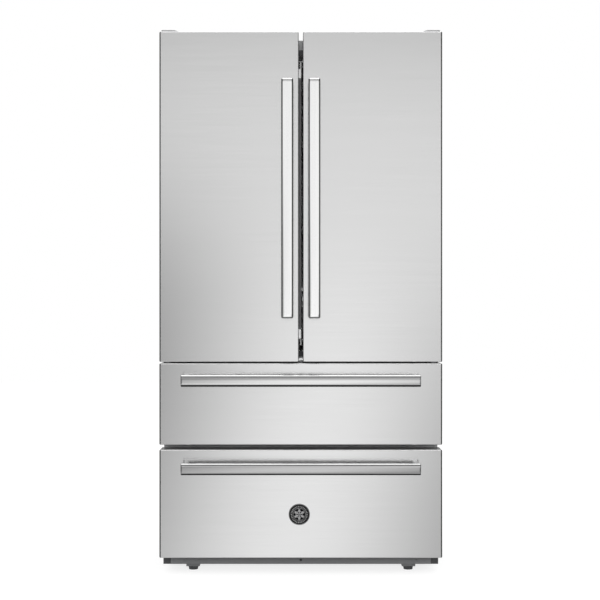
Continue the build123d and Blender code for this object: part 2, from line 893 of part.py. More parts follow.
def outer_runner(side, z, length):
    return channel(side, bay_half, runner_depth, z, runner_height, *runner_y(length))


def mid_runner(side, z, length):
    x_web = bay_half - runner_sheet - runner_play
    height = runner_height - 2 * (runner_sheet + runner_play)
    return channel(side, x_web, runner_depth - runner_sheet - runner_play, z, height, *runner_y(length))


def inner_runner(side, z, length):
    """Sliding member with the ledge that carries a basket and the plate that carries a front."""
    y1 = runner_y(length)[1]
    outer_x = bay_half - 2 * (runner_sheet + runner_play)
    mouth_x = bay_half - runner_depth
    ledge_x = mouth_x - runner_play - runner_sheet
    bar_half = runner_height / 2 - 2 * (runner_sheet + runner_play)
    strip_half = runner_strip / 2
    bar = block(side * mouth_x, side * outer_x, front_back_y, y1, z - bar_half, z + bar_half)
    strip = block(side * mouth_x, side * ledge_x, front_back_y, y1, z - strip_half, z + strip_half)
    ledge = block(
        side * mouth_x,
        side * (ledge_x - runner_ledge),
        front_back_y,
        y1,
        z + strip_half - runner_ledge_sheet,
        z + strip_half,
    )
    plate_half = runner_end_plate / 2
    plate = block(
        side * outer_x,
        side * (ledge_x - runner_ledge),
        front_back_y,
        front_back_y + runner_ledge_sheet,
        z - plate_half,
        z + plate_half,
    )
    return joined([bar, strip, ledge, plate])


def basket(z_runner, z_floor, length):
    """Open basket whose rim lies on the ledges of its runners."""
    rim_z0 = z_runner + runner_strip / 2
    ledge_x = bay_half - runner_depth - runner_play - runner_sheet
    rim_half = ledge_x - basket_side_play
    half = ledge_x - runner_ledge - basket_side_play
    y0 = case_y + basket_front_gap
    y1 = runner_y(length)[1] - basket_back_gap
    z0 = z_floor + basket_floor_gap
    z1 = rim_z0 + basket_rim_sheet
    outside = block(-half, half, y0, y1, z0, z1)
    outside = fillet(outside.edges().filter_by(Axis.Z), basket_round)
    inside = block(
        basket_wall - half, half - basket_wall, y0 + basket_wall, y1 - basket_wall, z0 + basket_wall, z1
    )
    inside = fillet(inside.edges().filter_by(Axis.Z), basket_round - basket_wall)
    rims = [block(side * (half - basket_rim), side * rim_half, y0, y1, rim_z0, z1) for side in (-1, 1)]
    return joined([outside, *rims]) - inside


upper_runner_z = upper_bay_z1 - upper_runner_drop
lower_runner_z = lower_bay_z1 - lower_runner_drop
upper_runner_length = cooler_y - upper_runner_back_gap - runner_setback - case_y
lower_runner_length = lower_back_y - lower_runner_back_gap - runner_setback - case_y


# Cooling parts


def finned_coil(x0, x1, y0, y1, z0, z1, rows, fins):
    """Tube that runs to and fro through a row of fins."""
    pitch = (z1 - z0) / rows
    y = (y0 + y1) / 2
    heights = [z0 + pitch * (row + 0.5) for row in range(rows)]
    pieces = [rod_x(y, z, x0, x1, coil_tube_radius) for z in heights]
    for row, (low, high) in enumerate(zip(heights, heights[1:])):
        x = x1 if row % 2 == 0 else x0
        pieces.append(rod_z(x, y, low - coil_bend_radius, high + coil_bend_radius, coil_bend_radius))
    spacing = (x1 - x0) / (fins + 1)
    for fin in range(fins):
        x = x0 + spacing * (fin + 1)
        pieces.append(block(x - coil_fin / 2, x + coil_fin / 2, y0, y1, z0, z1))
    return joined(pieces)


def evaporator_coil():
    half = coil_width / 2
    z0 = upper_bay_z0 + coil_rise
    return finned_coil(
        -half, half, bay_back_y - coil_depth, bay_back_y, z0, z0 + coil_height, coil_rows, coil_fin_count
    )


def fan(radius):
    """Hub with pitched blades about Z, bored for its shaft, with its middle at the origin."""
    hub = Cylinder(fan_hub_radius, fan_hub_length)
    span = radius - fan_hub_radius / 2
    reach = radius - span / 2
    blades = []
    for step in range(fan_blade_count):
        turn = Rot(0, 0, 360 * step / fan_blade_count)
        blades.append(
            turn * Pos(reach, 0, 0) * Rot(fan_blade_pitch, 0, 0) * Box(span, fan_blade_width, fan_blade_sheet)
        )
    return joined([hub, *blades]) - Cylinder(fan_shaft_radius + fan_shaft_clearance, 2 * fan_hub_length)


def cooler_fan_z():
    return upper_bay_z1 - cooler_fan_drop


def cooler_fan_y():
    return cooler_y + cooler_cover + fan_hub_length / 2 + fan_motor_gap


def evaporator_fan():
    return Pos(0, cooler_fan_y(), cooler_fan_z()) * Rot(90, 0, 0) * fan(cooler_fan_radius)


def evaporator_cover():
    """Back wall of the upper freezer bay, with the fan's opening and the motor on spokes behind it."""
    z = cooler_fan_z()
    hole = cooler_fan_radius + cooler_fan_gap
    cover = block(-bay_half, bay_half, cooler_y, cooler_y + cooler_cover, upper_bay_z0, upper_bay_z1)
    cover -= rod_y(0, z, cooler_y, cooler_y + cooler_cover, hole)
    slot_z0 = upper_bay_z0 + coil_rise
    slot_z1 = slot_z0 + cooler_slot_height
    half = cooler_slot_width / 2
    for step in range(cooler_slot_count):
        x = (step - (cooler_slot_count - 1) / 2) * cooler_slot_pitch
        cover -= block(x - half, x + half, cooler_y, cooler_y + cooler_cover, slot_z0, slot_z1)
    motor_y0 = cooler_fan_y() + fan_hub_length / 2 + fan_motor_gap
    motor = rod_y(0, z, motor_y0, bay_back_y, fan_motor_radius)
    shaft = rod_y(0, z, cooler_fan_y() - fan_hub_length / 2, motor_y0 + fan_motor_gap, fan_shaft_radius)
    spokes = []
    spoke_y1 = motor_y0 + fan_spoke
    low, high = z - fan_spoke / 2, z + fan_spoke / 2
    for side in (-1, 1):
        x0, x1 = side * fan_motor_radius / 2, side * (hole + fan_spoke)
        spokes.append(block(x0, x1, motor_y0, spoke_y1, low, high))
        spokes.append(block(x1, x1 - side * fan_spoke, cooler_y, spoke_y1, low, high))
    return joined([cover, motor, shaft, *spokes])


def compressor():
    """Welded steel can on a foot plate, with its terminal box and two pipe stubs."""
    z0 = case_z0 + compressor_foot
    z1 = z0 + compressor_height
    can = rod_z(compressor_x, machine_y, z0, z1, compressor_radius)
    can = fillet(can.edges().filter_by(GeomType.CIRCLE), compressor_dome)
    half_x, half_y = compressor_foot_width / 2, compressor_foot_depth / 2
    foot = block(
        compressor_x - half_x, compressor_x + half_x, machine_y - half_y, machine_y + half_y, case_z0, z0
    )
    middle_z = (z0 + z1) / 2
    half = terminal_size / 2
    terminal_x = compressor_x - compressor_radius - terminal_reach
    terminal = block(
        terminal_x, compressor_x, machine_y - half, machine_y + half, middle_z - half, middle_z + half
    )
    stub_z1 = z1 + compressor_stub_height
    stubs = [
        rod_z(compressor_x + end * compressor_stub_offset, machine_y, middle_z, stub_z1, coil_tube_radius)
        for end in (-1, 1)
    ]
    return joined([can, foot, terminal, *stubs])


def condenser_coil():
    """Finned coil that stands on two end plates."""
    y0, y1 = machine_y - condenser_depth / 2, machine_y + condenser_depth / 2
    z0 = case_z0 + condenser_lift
    z1 = z0 + condenser_height
    coil = finned_coil(condenser_x0, condenser_x1, y0, y1, z0, z1, condenser_rows, condenser_fin_count)
    inset = (condenser_x1 - condenser_x0) / (condenser_fin_count + 1) / 2
    ends = [
        block(x - shroud_sheet / 4, x + shroud_sheet / 4, y0, y1, case_z0, z1)
        for x in (condenser_x0 + inset, condenser_x1 - inset)
    ]
    return joined([coil, *ends])


def machine_fan_z():
    return case_z0 + machine_fan_height


def condenser_fan():
    return Pos(machine_fan_x, machine_y, machine_fan_z()) * Rot(0, 90, 0) * fan(machine_fan_radius)


def condenser_fan_motor():
    """Shroud that stands on the machine floor, with the motor on spokes and its shaft."""
    z = machine_fan_z()
    y0, y1 = machine_y - shroud_width / 2, machine_y + shroud_width / 2
    x0 = machine_fan_x - shroud_sheet / 2
    hole = machine_fan_radius + cooler_fan_gap
    shroud = block(x0, x0 + shroud_sheet, y0, y1, case_z0, case_z0 + shroud_height)
    shroud -= rod_x(machine_y, z, x0, x0 + shroud_sheet, hole)
    motor_x0 = machine_fan_x + fan_hub_length / 2 + fan_motor_gap
    motor = rod_x(machine_y, z, motor_x0, motor_x0 + fan_motor_length, fan_motor_radius)
    hub_x0 = machine_fan_x - fan_hub_length / 2
    shaft = rod_x(machine_y, z, hub_x0, motor_x0 + fan_motor_gap, fan_shaft_radius)
    spokes = []
    spoke_x1 = motor_x0 + fan_spoke
    low, high = z - fan_spoke / 2, z + fan_spoke / 2
    for side in (-1, 1):
        near_y = machine_y + side * fan_motor_radius / 2
        far_y = machine_y + side * (hole + fan_spoke)
        spokes.append(block(motor_x0, spoke_x1, near_y, far_y, low, high))
        spokes.append(block(x0, spoke_x1, far_y, far_y - side * fan_spoke, low, high))
    return joined([shroud, motor, shaft, *spokes])


# Base, legs, rollers and kick plate

leg_y = case_y + leg_setback
roller_y = rear_y - roller_setback


def base_frame():
    """Folded steel tray under the case, with the nuts of the legs and the forks of the rollers."""
    frame = block(-case_half, case_half, case_y, rear_y, base_bottom, case_z0)
    frame -= block(
        base_sheet - case_half,
        case_half - base_sheet,
        case_y + base_sheet,
        rear_y - base_sheet,
        base_bottom,
        case_z0 - base_sheet,
    )
    pieces = [frame]
    roof_z = case_z0 - base_sheet / 2
    for side in (-1, 1):
        x = side * leg_x
        pieces.append(rod_z(x, leg_y, base_bottom, roof_z, leg_boss_radius))
        pieces += leg_bracket(x, roof_z)
        pieces += roller_fork(x, roof_z)
    frame = joined(pieces)
    for side in (-1, 1):
        stud_hole = leg_stud_radius + leg_stud_clearance
        frame -= rod_z(side * leg_x, leg_y, base_bottom, case_z0 - base_sheet, stud_hole)
    for x in kick_screw_places():
        frame -= rod_y(x, kick_screw_height, case_y, case_y + base_sheet, screw_radius + screw_clearance)
    return frame


def leg_bracket(x, roof_z):
    """Two cheeks beside a leg, joined by the plate in front of it."""
    y0, y1 = leg_y - leg_cheek_length / 2, leg_y + leg_cheek_length / 2
    x0, x1 = x - leg_cheek_half, x + leg_cheek_half
    bracket = block(x0, x1, y0, y1, leg_cheek_bottom, roof_z)
    bracket -= block(
        x0 + leg_cheek_sheet, x1 - leg_cheek_sheet, y0 + leg_cheek_sheet, y1, leg_cheek_bottom, roof_z
    )
    return [bracket]


def roller_fork(x, roof_z):
    """Two cheeks and the axle that a roller turns on."""
    inner = roller_width / 2 + roller_cheek_gap
    outer = inner + roller_cheek_sheet
    y0, y1 = roller_y - roller_cheek_half, roller_y + roller_cheek_half
    cheeks = [block(x + end * inner, x + end * outer, y0, y1, roller_cheek_bottom, roof_z) for end in (-1, 1)]
    return [*cheeks, rod_x(roller_y, roller_radius, x - outer, x + outer, roller_axle_radius)]


def levelling_leg(side):
    """Threaded leg with a ribbed foot that turns in the base's nut."""
    x = side * leg_x
    body_z1 = leg_pad_height + leg_body_height
    pad = rod_z(x, leg_y, 0, leg_pad_height, leg_pad_radius)
    body = Pos(x, leg_y, leg_pad_height + leg_body_height / 2) * Cone(
        leg_pad_radius, leg_top_radius, leg_body_height
    )
    stud = rod_z(x, leg_y, leg_pad_height, body_z1 + leg_stud_length, leg_stud_radius)
    ribs = []
    for step in range(leg_rib_count):
        angle = math.radians(360 * step / leg_rib_count)
        rib_x = x + leg_pad_radius * math.cos(angle)
        rib_y = leg_y + leg_pad_radius * math.sin(angle)
        ribs.append(rod_z(rib_x, rib_y, leg_pad_height, body_z1, leg_rib_radius))
    return joined([pad, body, stud, *ribs])


def rear_roller(side):
    """Grooved wheel bored for its axle."""
    x = side * leg_x
    half = roller_width / 2
    wheel = rod_x(roller_y, roller_radius, x - half, x + half, roller_radius)
    wheel = fillet(wheel.edges(), roller_groove / 2)
    ring = rod_x(roller_y, roller_radius, x - roller_groove, x + roller_groove, roller_radius)
    ring -= rod_x(roller_y, roller_radius, x - half, x + half, roller_radius - roller_groove)
    bore = roller_axle_radius + roller_axle_clearance
    return wheel - ring - rod_x(roller_y, roller_radius, x - half, x + half, bore)


def kick_screw_places():
    return -kick_screw_x, 0.0, kick_screw_x


def kick_plate():
    """Cover over the front of the base, with stepped ends that hold it off the case."""
    y0 = case_y - kick_proud
    half = case_half + kick_side_proud
    plate = block(-half, half, y0, y0 + kick_sheet, kick_bottom, kick_top)
    for side in (-1, 1):
        end_x = side * (half - kick_end_length)
        plate -= block(end_x, side * half, y0, y0 + kick_end_step / 2, kick_bottom, kick_top)
        plate += block(end_x, side * half, y0 + kick_end_step / 2, case_y, kick_bottom, case_z0)
    for x in kick_screw_places():
        plate += rod_y(x, kick_screw_height, y0 + kick_sheet / 2, case_y, 2 * screw_head_radius)
        plate -= rod_y(x, kick_screw_height, y0, case_y, screw_radius + screw_clearance)
    return plate


def screw(x, y_head, z, inward):
    """Round-head screw whose shank points along inward on Y."""
    head = rod_y(x, z, y_head, y_head - inward * screw_head_height, screw_head_radius)
    return joined([head, rod_y(x, z, y_head, y_head + inward * screw_length, screw_radius)])


def screws():
    """Screws of the kick plate and of the rear panel."""
    kick = [screw(x, case_y - kick_proud, kick_screw_height, 1) for x in kick_screw_places()]
    return group(kick + [screw(x, rear_y, z, -1) for x, z in rear_screw_places()])


def rear_screw_holes():
    """Holes in the foam for the shanks of the rear screws."""
    y0 = rear_y - screw_length - screw_clearance
    return [rod_y(x, z, y0, rear_y, screw_radius + screw_clearance) for x, z in rear_screw_places()]


def all_pieces():
    """Every node's name and its solid or group of solids."""
    nodes = {}
    for word, side in (("left", -1), ("right", 1)):
        skin, foam, liner = door_pieces(side)
        nodes[f"{word}_door_skin"] = skin
        nodes[f"{word}_door_insulation"] = foam
        nodes[f"{word}_door_liner"] = joined([liner, *mullion_lugs()]) if side < 0 else liner
        nodes[f"{word}_door_seal"] = door_seal(side)
        nodes[f"{word}_door_handle"] = door_handle(side)
        nodes[f"{word}_door_bins"] = door_bins(side)
        nodes[f"{word}_crisper"] = crisper(side)
        nodes[f"{word}_levelling_leg"] = levelling_leg(side)
        nodes[f"{word}_rear_roller"] = rear_roller(side)
    drawers = (
        ("upper", upper_z0, upper_z1, upper_runner_z, upper_bay_z0, upper_runner_length),
        ("lower", lower_z0, lower_z1, lower_runner_z, lower_bay_z0, lower_runner_length),
    )
    outer_runners = []
    for word, z0, z1, runner_z, floor_z, length in drawers:
        skin, foam, liner = drawer_pieces(z0, z1)
        nodes[f"{word}_drawer_skin"] = skin
        nodes[f"{word}_drawer_insulation"] = foam
        nodes[f"{word}_drawer_liner"] = liner
        nodes[f"{word}_drawer_seal"] = drawer_seal(z0, z1)
        nodes[f"{word}_basket"] = basket(runner_z, floor_z, length)
        outer_runners += [outer_runner(side, runner_z, length) for side in (-1, 1)]
        nodes[f"{word}_mid_runners"] = both_sides(lambda side: mid_runner(side, runner_z, length))
        nodes[f"{word}_inner_runners"] = both_sides(lambda side: inner_runner(side, runner_z, length))
    nodes["upper_drawer_handle"] = drawer_handle(upper_z1 - upper_handle_drop)
    nodes["lower_drawer_handle"] = drawer_handle(lower_z1 - lower_handle_drop)
    nodes["outer_runners"] = group(outer_runners)
    nodes["badge"] = badge()
    nodes["mullion_bar"] = mullion_bar()
    nodes["mullion_caps"] = mullion_caps()
    nodes["outer_case"] = outer_case()
    nodes["cabinet_insulation"] = cabinet_insulation() - rear_screw_holes()
    nodes["fridge_liner"], nodes["freezer_liners"] = liners()
    nodes["rear_panel"] = rear_panel()
    nodes["door_hinges"] = door_hinges()
    nodes["hinge_covers"] = both_sides(hinge_cover)
    nodes["shelf_frames"], nodes["shelf_glass"] = shelves()
    nodes["shelf_tracks"] = shelf_tracks()
    nodes["air_tower"] = air_tower()
    nodes["control_panel"] = control_panel()
    nodes["evaporator_coil"] = evaporator_coil()
    nodes["evaporator_cover"] = evaporator_cover()
    nodes["evaporator_fan"] = evaporator_fan()
    nodes["compressor"] = compressor()
    nodes["condenser_coil"] = condenser_coil()
    nodes["condenser_fan"] = condenser_fan()
    nodes["condenser_fan_motor"] = condenser_fan_motor()
    nodes["base_frame"] = base_frame()
    nodes["kick_plate"] = kick_plate()
    nodes["screws"] = screws()
    return nodes


def main():
    os.makedirs("parts", exist_ok=True)
    for name, shape in all_pieces().items():
        export_step(shape, f"parts/{name}.step")


if __name__ == "__main__":
    main()
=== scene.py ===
import bmesh
import bpy
import numpy as np
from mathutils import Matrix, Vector


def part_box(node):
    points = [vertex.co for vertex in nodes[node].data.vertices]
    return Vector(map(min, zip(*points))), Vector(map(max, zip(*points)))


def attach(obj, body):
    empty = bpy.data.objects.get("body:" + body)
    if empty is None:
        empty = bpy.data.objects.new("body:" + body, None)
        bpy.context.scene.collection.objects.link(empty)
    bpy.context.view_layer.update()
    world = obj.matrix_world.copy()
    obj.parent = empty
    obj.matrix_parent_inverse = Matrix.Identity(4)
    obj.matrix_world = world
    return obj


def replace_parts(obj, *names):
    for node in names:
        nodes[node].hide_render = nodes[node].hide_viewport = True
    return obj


# refrigerator with two doors over two freezer drawers: finishes, bars, badge, seals and small fittings
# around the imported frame; metres, front towards -Y

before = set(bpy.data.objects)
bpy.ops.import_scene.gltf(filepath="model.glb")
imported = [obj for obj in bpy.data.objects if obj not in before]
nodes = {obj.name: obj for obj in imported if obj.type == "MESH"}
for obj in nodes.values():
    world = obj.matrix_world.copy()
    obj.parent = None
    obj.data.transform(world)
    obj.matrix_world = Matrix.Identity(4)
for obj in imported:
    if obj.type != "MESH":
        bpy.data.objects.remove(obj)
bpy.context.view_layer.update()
scene = bpy.context.scene
scene.view_settings.view_transform = "Standard"


# finishes: all read Object coordinates, and a few the way a face points, so a pattern stays on its piece

def startFinish(name, colour, roughness, metallic=0.0, **sockets):
    made = bpy.data.materials.new(name)
    made.use_nodes = True
    shader = made.node_tree.nodes["Principled BSDF"]
    shader.inputs["Base Color"].default_value = (*colour, 1.0)
    shader.inputs["Roughness"].default_value = roughness
    shader.inputs["Metallic"].default_value = metallic
    for socket, value in sockets.items():
        shader.inputs[socket.replace("_", " ")].default_value = value
    return made, shader


# one Math node, fed with sockets and plain numbers
def mathOf(tree, operation, *values):
    node = tree.nodes.new("ShaderNodeMath")
    node.operation = operation
    for socket, value in zip(node.inputs, values):
        if isinstance(value, (int, float)):
            socket.default_value = value
        else:
            tree.links.new(value, socket)
    return node.outputs[0]


# the three parts of a place or a facing, as Texture Coordinate gives it
def splitOf(tree, output):
    place = tree.nodes.new("ShaderNodeTexCoord")
    split = tree.nodes.new("ShaderNodeSeparateXYZ")
    tree.links.new(place.outputs[output], split.inputs["Vector"])
    return split.outputs


def stretchedNoise(made, stretch, detail=3.0, rough=0.55, kind="ShaderNodeTexNoise"):
    tree = made.node_tree
    place = tree.nodes.new("ShaderNodeTexCoord")
    mapping = tree.nodes.new("ShaderNodeMapping")
    mapping.inputs["Scale"].default_value = stretch
    texture = tree.nodes.new(kind)
    texture.inputs["Scale"].default_value = 1.0
    if kind == "ShaderNodeTexNoise":
        texture.inputs["Detail"].default_value = detail
        texture.inputs["Roughness"].default_value = rough
    tree.links.new(place.outputs["Object"], mapping.inputs["Vector"])
    tree.links.new(mapping.outputs["Vector"], texture.inputs["Vector"])
    return texture.outputs["Color" if kind == "ShaderNodeTexVoronoi" else 0]


noiseSpan = (0.3, 0.7)  # most of what a noise gives lies in here


def tintBy(made, shader, noise, low, high, span=noiseSpan):
    tree = made.node_tree
    ramp = tree.nodes.new("ShaderNodeValToRGB")
    for stop, place, colour in zip(ramp.color_ramp.elements, span, (low, high)):
        stop.position = place
        stop.color = (*colour, 1.0)
    tree.links.new(noise, ramp.inputs["Fac"])
    tree.links.new(ramp.outputs["Color"], shader.inputs["Base Color"])


# value that goes from one level to another while the share rises from start to end
def spanOf(made, share, start, end, low=0.0, high=1.0):
    span = made.node_tree.nodes.new("ShaderNodeMapRange")
    levels = {"From Min": start, "From Max": end, "To Min": low, "To Max": high}
    for socket, value in levels.items():
        span.inputs[socket].default_value = value
    made.node_tree.links.new(share, span.inputs["Value"])
    return span.outputs["Result"]


def roughBy(made, shader, noise, low, high):
    made.node_tree.links.new(spanOf(made, noise, *noiseSpan, low, high), shader.inputs["Roughness"])


def dentBy(made, shader, noise, distance, strength):
    tree = made.node_tree
    bump = tree.nodes.new("ShaderNodeBump")
    bump.inputs["Distance"].default_value = distance
    bump.inputs["Strength"].default_value = strength
    tree.links.new(noise, bump.inputs["Height"])
    tree.links.new(bump.outputs["Normal"], shader.inputs["Normal"])


def grey(level):
    return (level, level, level)


# brushed steel: long thin scratches along one axis, with wider soft bands among them
brushLook = dict(
    fine={"x": (5.0, 60.0, 650.0), "z": (650.0, 650.0, 5.0)}, fineNoise=(4.0, 0.65),
    wide={"x": (1.6, 9.0, 75.0), "z": (75.0, 75.0, 1.6)}, wideNoise=(2.0, 0.5),
    depth=0.00002, strength=0.015,
)


def brushedSteel(name, level, spread, roughLow, roughHigh, along, pull=0.0, turn=0.0):
    sockets = dict(Anisotropic=pull, Anisotropic_Rotation=turn)
    made, shader = startFinish(name, grey(level), roughLow, 1.0, **sockets)
    scratches = stretchedNoise(made, brushLook["fine"][along], *brushLook["fineNoise"])
    bands = stretchedNoise(made, brushLook["wide"][along], *brushLook["wideNoise"])
    tintBy(made, shader, bands, grey(level - spread), grey(level + spread))
    roughBy(made, shader, scratches, roughLow, roughHigh)
    dentBy(made, shader, scratches, brushLook["depth"], brushLook["strength"])
    tangent = made.node_tree.nodes.new("ShaderNodeTangent")
    tangent.direction_type = "RADIAL"
    tangent.axis = "Z"
    made.node_tree.links.new(tangent.outputs["Tangent"], shader.inputs["Tangent"])
    return made


# puts one plain colour over a finish wherever the share rises from start to end
def coverBy(made, shader, share, start, end, colour):
    tree = made.node_tree
    over = tree.nodes.new("ShaderNodeMix")
    over.data_type = "RGBA"
    over.inputs["B"].default_value = (*colour, 1.0)
    tree.links.new(spanOf(made, share, start, end), over.inputs["Factor"])
    tree.links.new(shader.inputs["Base Color"].links[0].from_socket, over.inputs["A"])
    tree.links.new(over.outputs["Result"], shader.inputs["Base Color"])


def partOf(made, output, axis):
    return splitOf(made.node_tree, output)[axis]


# size of one part, whichever way it points
def sizeOf(made, output, axis):
    return mathOf(made.node_tree, "ABSOLUTE", partOf(made, output, axis))


# fronts: a painted shade line just inside each outer upright edge, then the painted return; tops painted
# as well
returnPaint = dict(
    line=(0.4493, 0.4496), shadeLineTone=0.05, side=(0.4534, 0.4537), sideTone=0.19, topTurn=(0.80, 0.95),
)


def frontSheet(name, **steel):
    made = brushedSteel(name, **steel)
    tree = made.node_tree
    shader = tree.nodes["Principled BSDF"]
    out, facing = sizeOf(made, "Object", "X"), partOf(made, "Normal", "Z")
    line, turn = returnPaint["line"], returnPaint["topTurn"]
    # painted shade: a near-black band over the rounded outer edge, standing in for its dark reflection
    coverBy(made, shader, out, *line, grey(returnPaint["shadeLineTone"]))
    coverBy(made, shader, out, *returnPaint["side"], grey(returnPaint["sideTone"]))
    coverBy(made, shader, facing, *turn, grey(returnPaint["sideTone"]))
    # metal only where no paint or painted shade lies
    spans = (spanOf(made, out, *line, 1.0, 0.0), spanOf(made, facing, *turn, 1.0, 0.0))
    tree.links.new(mathOf(tree, "MULTIPLY", *spans), shader.inputs["Metallic"])
    return made


# bars: painted shade underneath, painted dark reflections along rounded upright edges, plain on faces
# turned aside
barEdgeShade = dict(start=(0.08, 0.24), end=(0.80, 0.97))


def barSteel(name, level, underShadeTone, underTurn, edgeShadeTone, **steel):
    made = brushedSteel(name, level, **steel)
    shader = made.node_tree.nodes["Principled BSDF"]
    # painted dark reflection on the rounded upright edges, the bar's own tone again on faces turned aside
    for turn, tone in ((barEdgeShade["start"], edgeShadeTone), (barEdgeShade["end"], level)):
        coverBy(made, shader, sizeOf(made, "Normal", "X"), *turn, grey(tone))
    # painted shade on the faces turned down
    coverBy(made, shader, partOf(made, "Normal", "Z"), *underTurn, grey(underShadeTone))
    return made


# upper drawer's bar: painted shade above the middle line of its face, lighter again at the rim
barShade = dict(
    node="upper_drawer_handle", shadeBand=(0.0005, 0.0075), shadeBandTone=0.33, rim=(0.0075, 0.012), rimTone=0.47,
)


def shadedBar(name, **steel):
    made = barSteel(name, **steel)
    shader = made.node_tree.nodes["Principled BSDF"]
    low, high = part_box(barShade["node"])
    middle = (low.z + high.z) / 2
    place = partOf(made, "Object", "Z")
    # painted shade over the upper half of the face, standing in for the dim reflection it shows there
    for part in ("shadeBand", "rim"):
        start, end = (middle + reach for reach in barShade[part])
        coverBy(made, shader, place, start, end, grey(barShade[part + "Tone"]))
    return made


# moulded plastic or paint: a fine even skin with slight patches of gloss
skinLook = dict(patch=(9.0, 9.0, 9.0), patchDetail=3.0, peelDetail=2.0, gloss=(0.88, 1.12), strength=0.5)


def mouldedSkin(name, colour, roughness, spread=0.04, skin=700.0, depth=0.00004, **sockets):
    made, shader = startFinish(name, colour, roughness, **sockets)
    patches = stretchedNoise(made, skinLook["patch"], skinLook["patchDetail"])
    peel = stretchedNoise(made, (skin, skin, skin), skinLook["peelDetail"])
    low, high = [c * (1 - spread) for c in colour], [min(c * (1 + spread), 1) for c in colour]
    tintBy(made, shader, patches, low, high)
    roughBy(made, shader, patches, *(roughness * gloss for gloss in skinLook["gloss"]))
    dentBy(made, shader, peel, depth, skinLook["strength"])
    return made


# plated sheet: faint crystals of zinc, each with its own tone
plateLook = dict(tones=(0.1, 0.9), smear=(14.0, 14.0, 5.0), smearDetail=4.0, depth=0.00006, strength=0.4)


def platedSheet(name, low, high, crystal, roughLow, roughHigh):
    made, shader = startFinish(name, low, roughLow, 1.0)
    crystals = stretchedNoise(made, (crystal, crystal, crystal), kind="ShaderNodeTexVoronoi")
    smears = stretchedNoise(made, plateLook["smear"], plateLook["smearDetail"])
    tintBy(made, shader, crystals, low, high, plateLook["tones"])
    roughBy(made, shader, smears, roughLow, roughHigh)
    dentBy(made, shader, smears, plateLook["depth"], plateLook["strength"])
    return made


# see-through plastic or glass: clear body, partly open to plain light, gloss broken by a little handling
clearLook = dict(touch=(16.0, 16.0, 16.0), touchDetail=4.0, gloss=(0.6, 1.5))


def clearBody(name, colour, roughness, index, share):
    made, shader = startFinish(name, colour, roughness, Transmission_Weight=1.0, IOR=index, Alpha=share)
    touch = stretchedNoise(made, clearLook["touch"], clearLook["touchDetail"])
    roughBy(made, shader, touch, *(roughness * gloss for gloss in clearLook["gloss"]))
    return made


frontBrush = dict(spread=0.0045, roughLow=0.17, roughHigh=0.20, along="x", pull=0.45, turn=0.25)
barBrush = dict(spread=0.012, roughLow=0.12, roughHigh=0.18, pull=0.2)
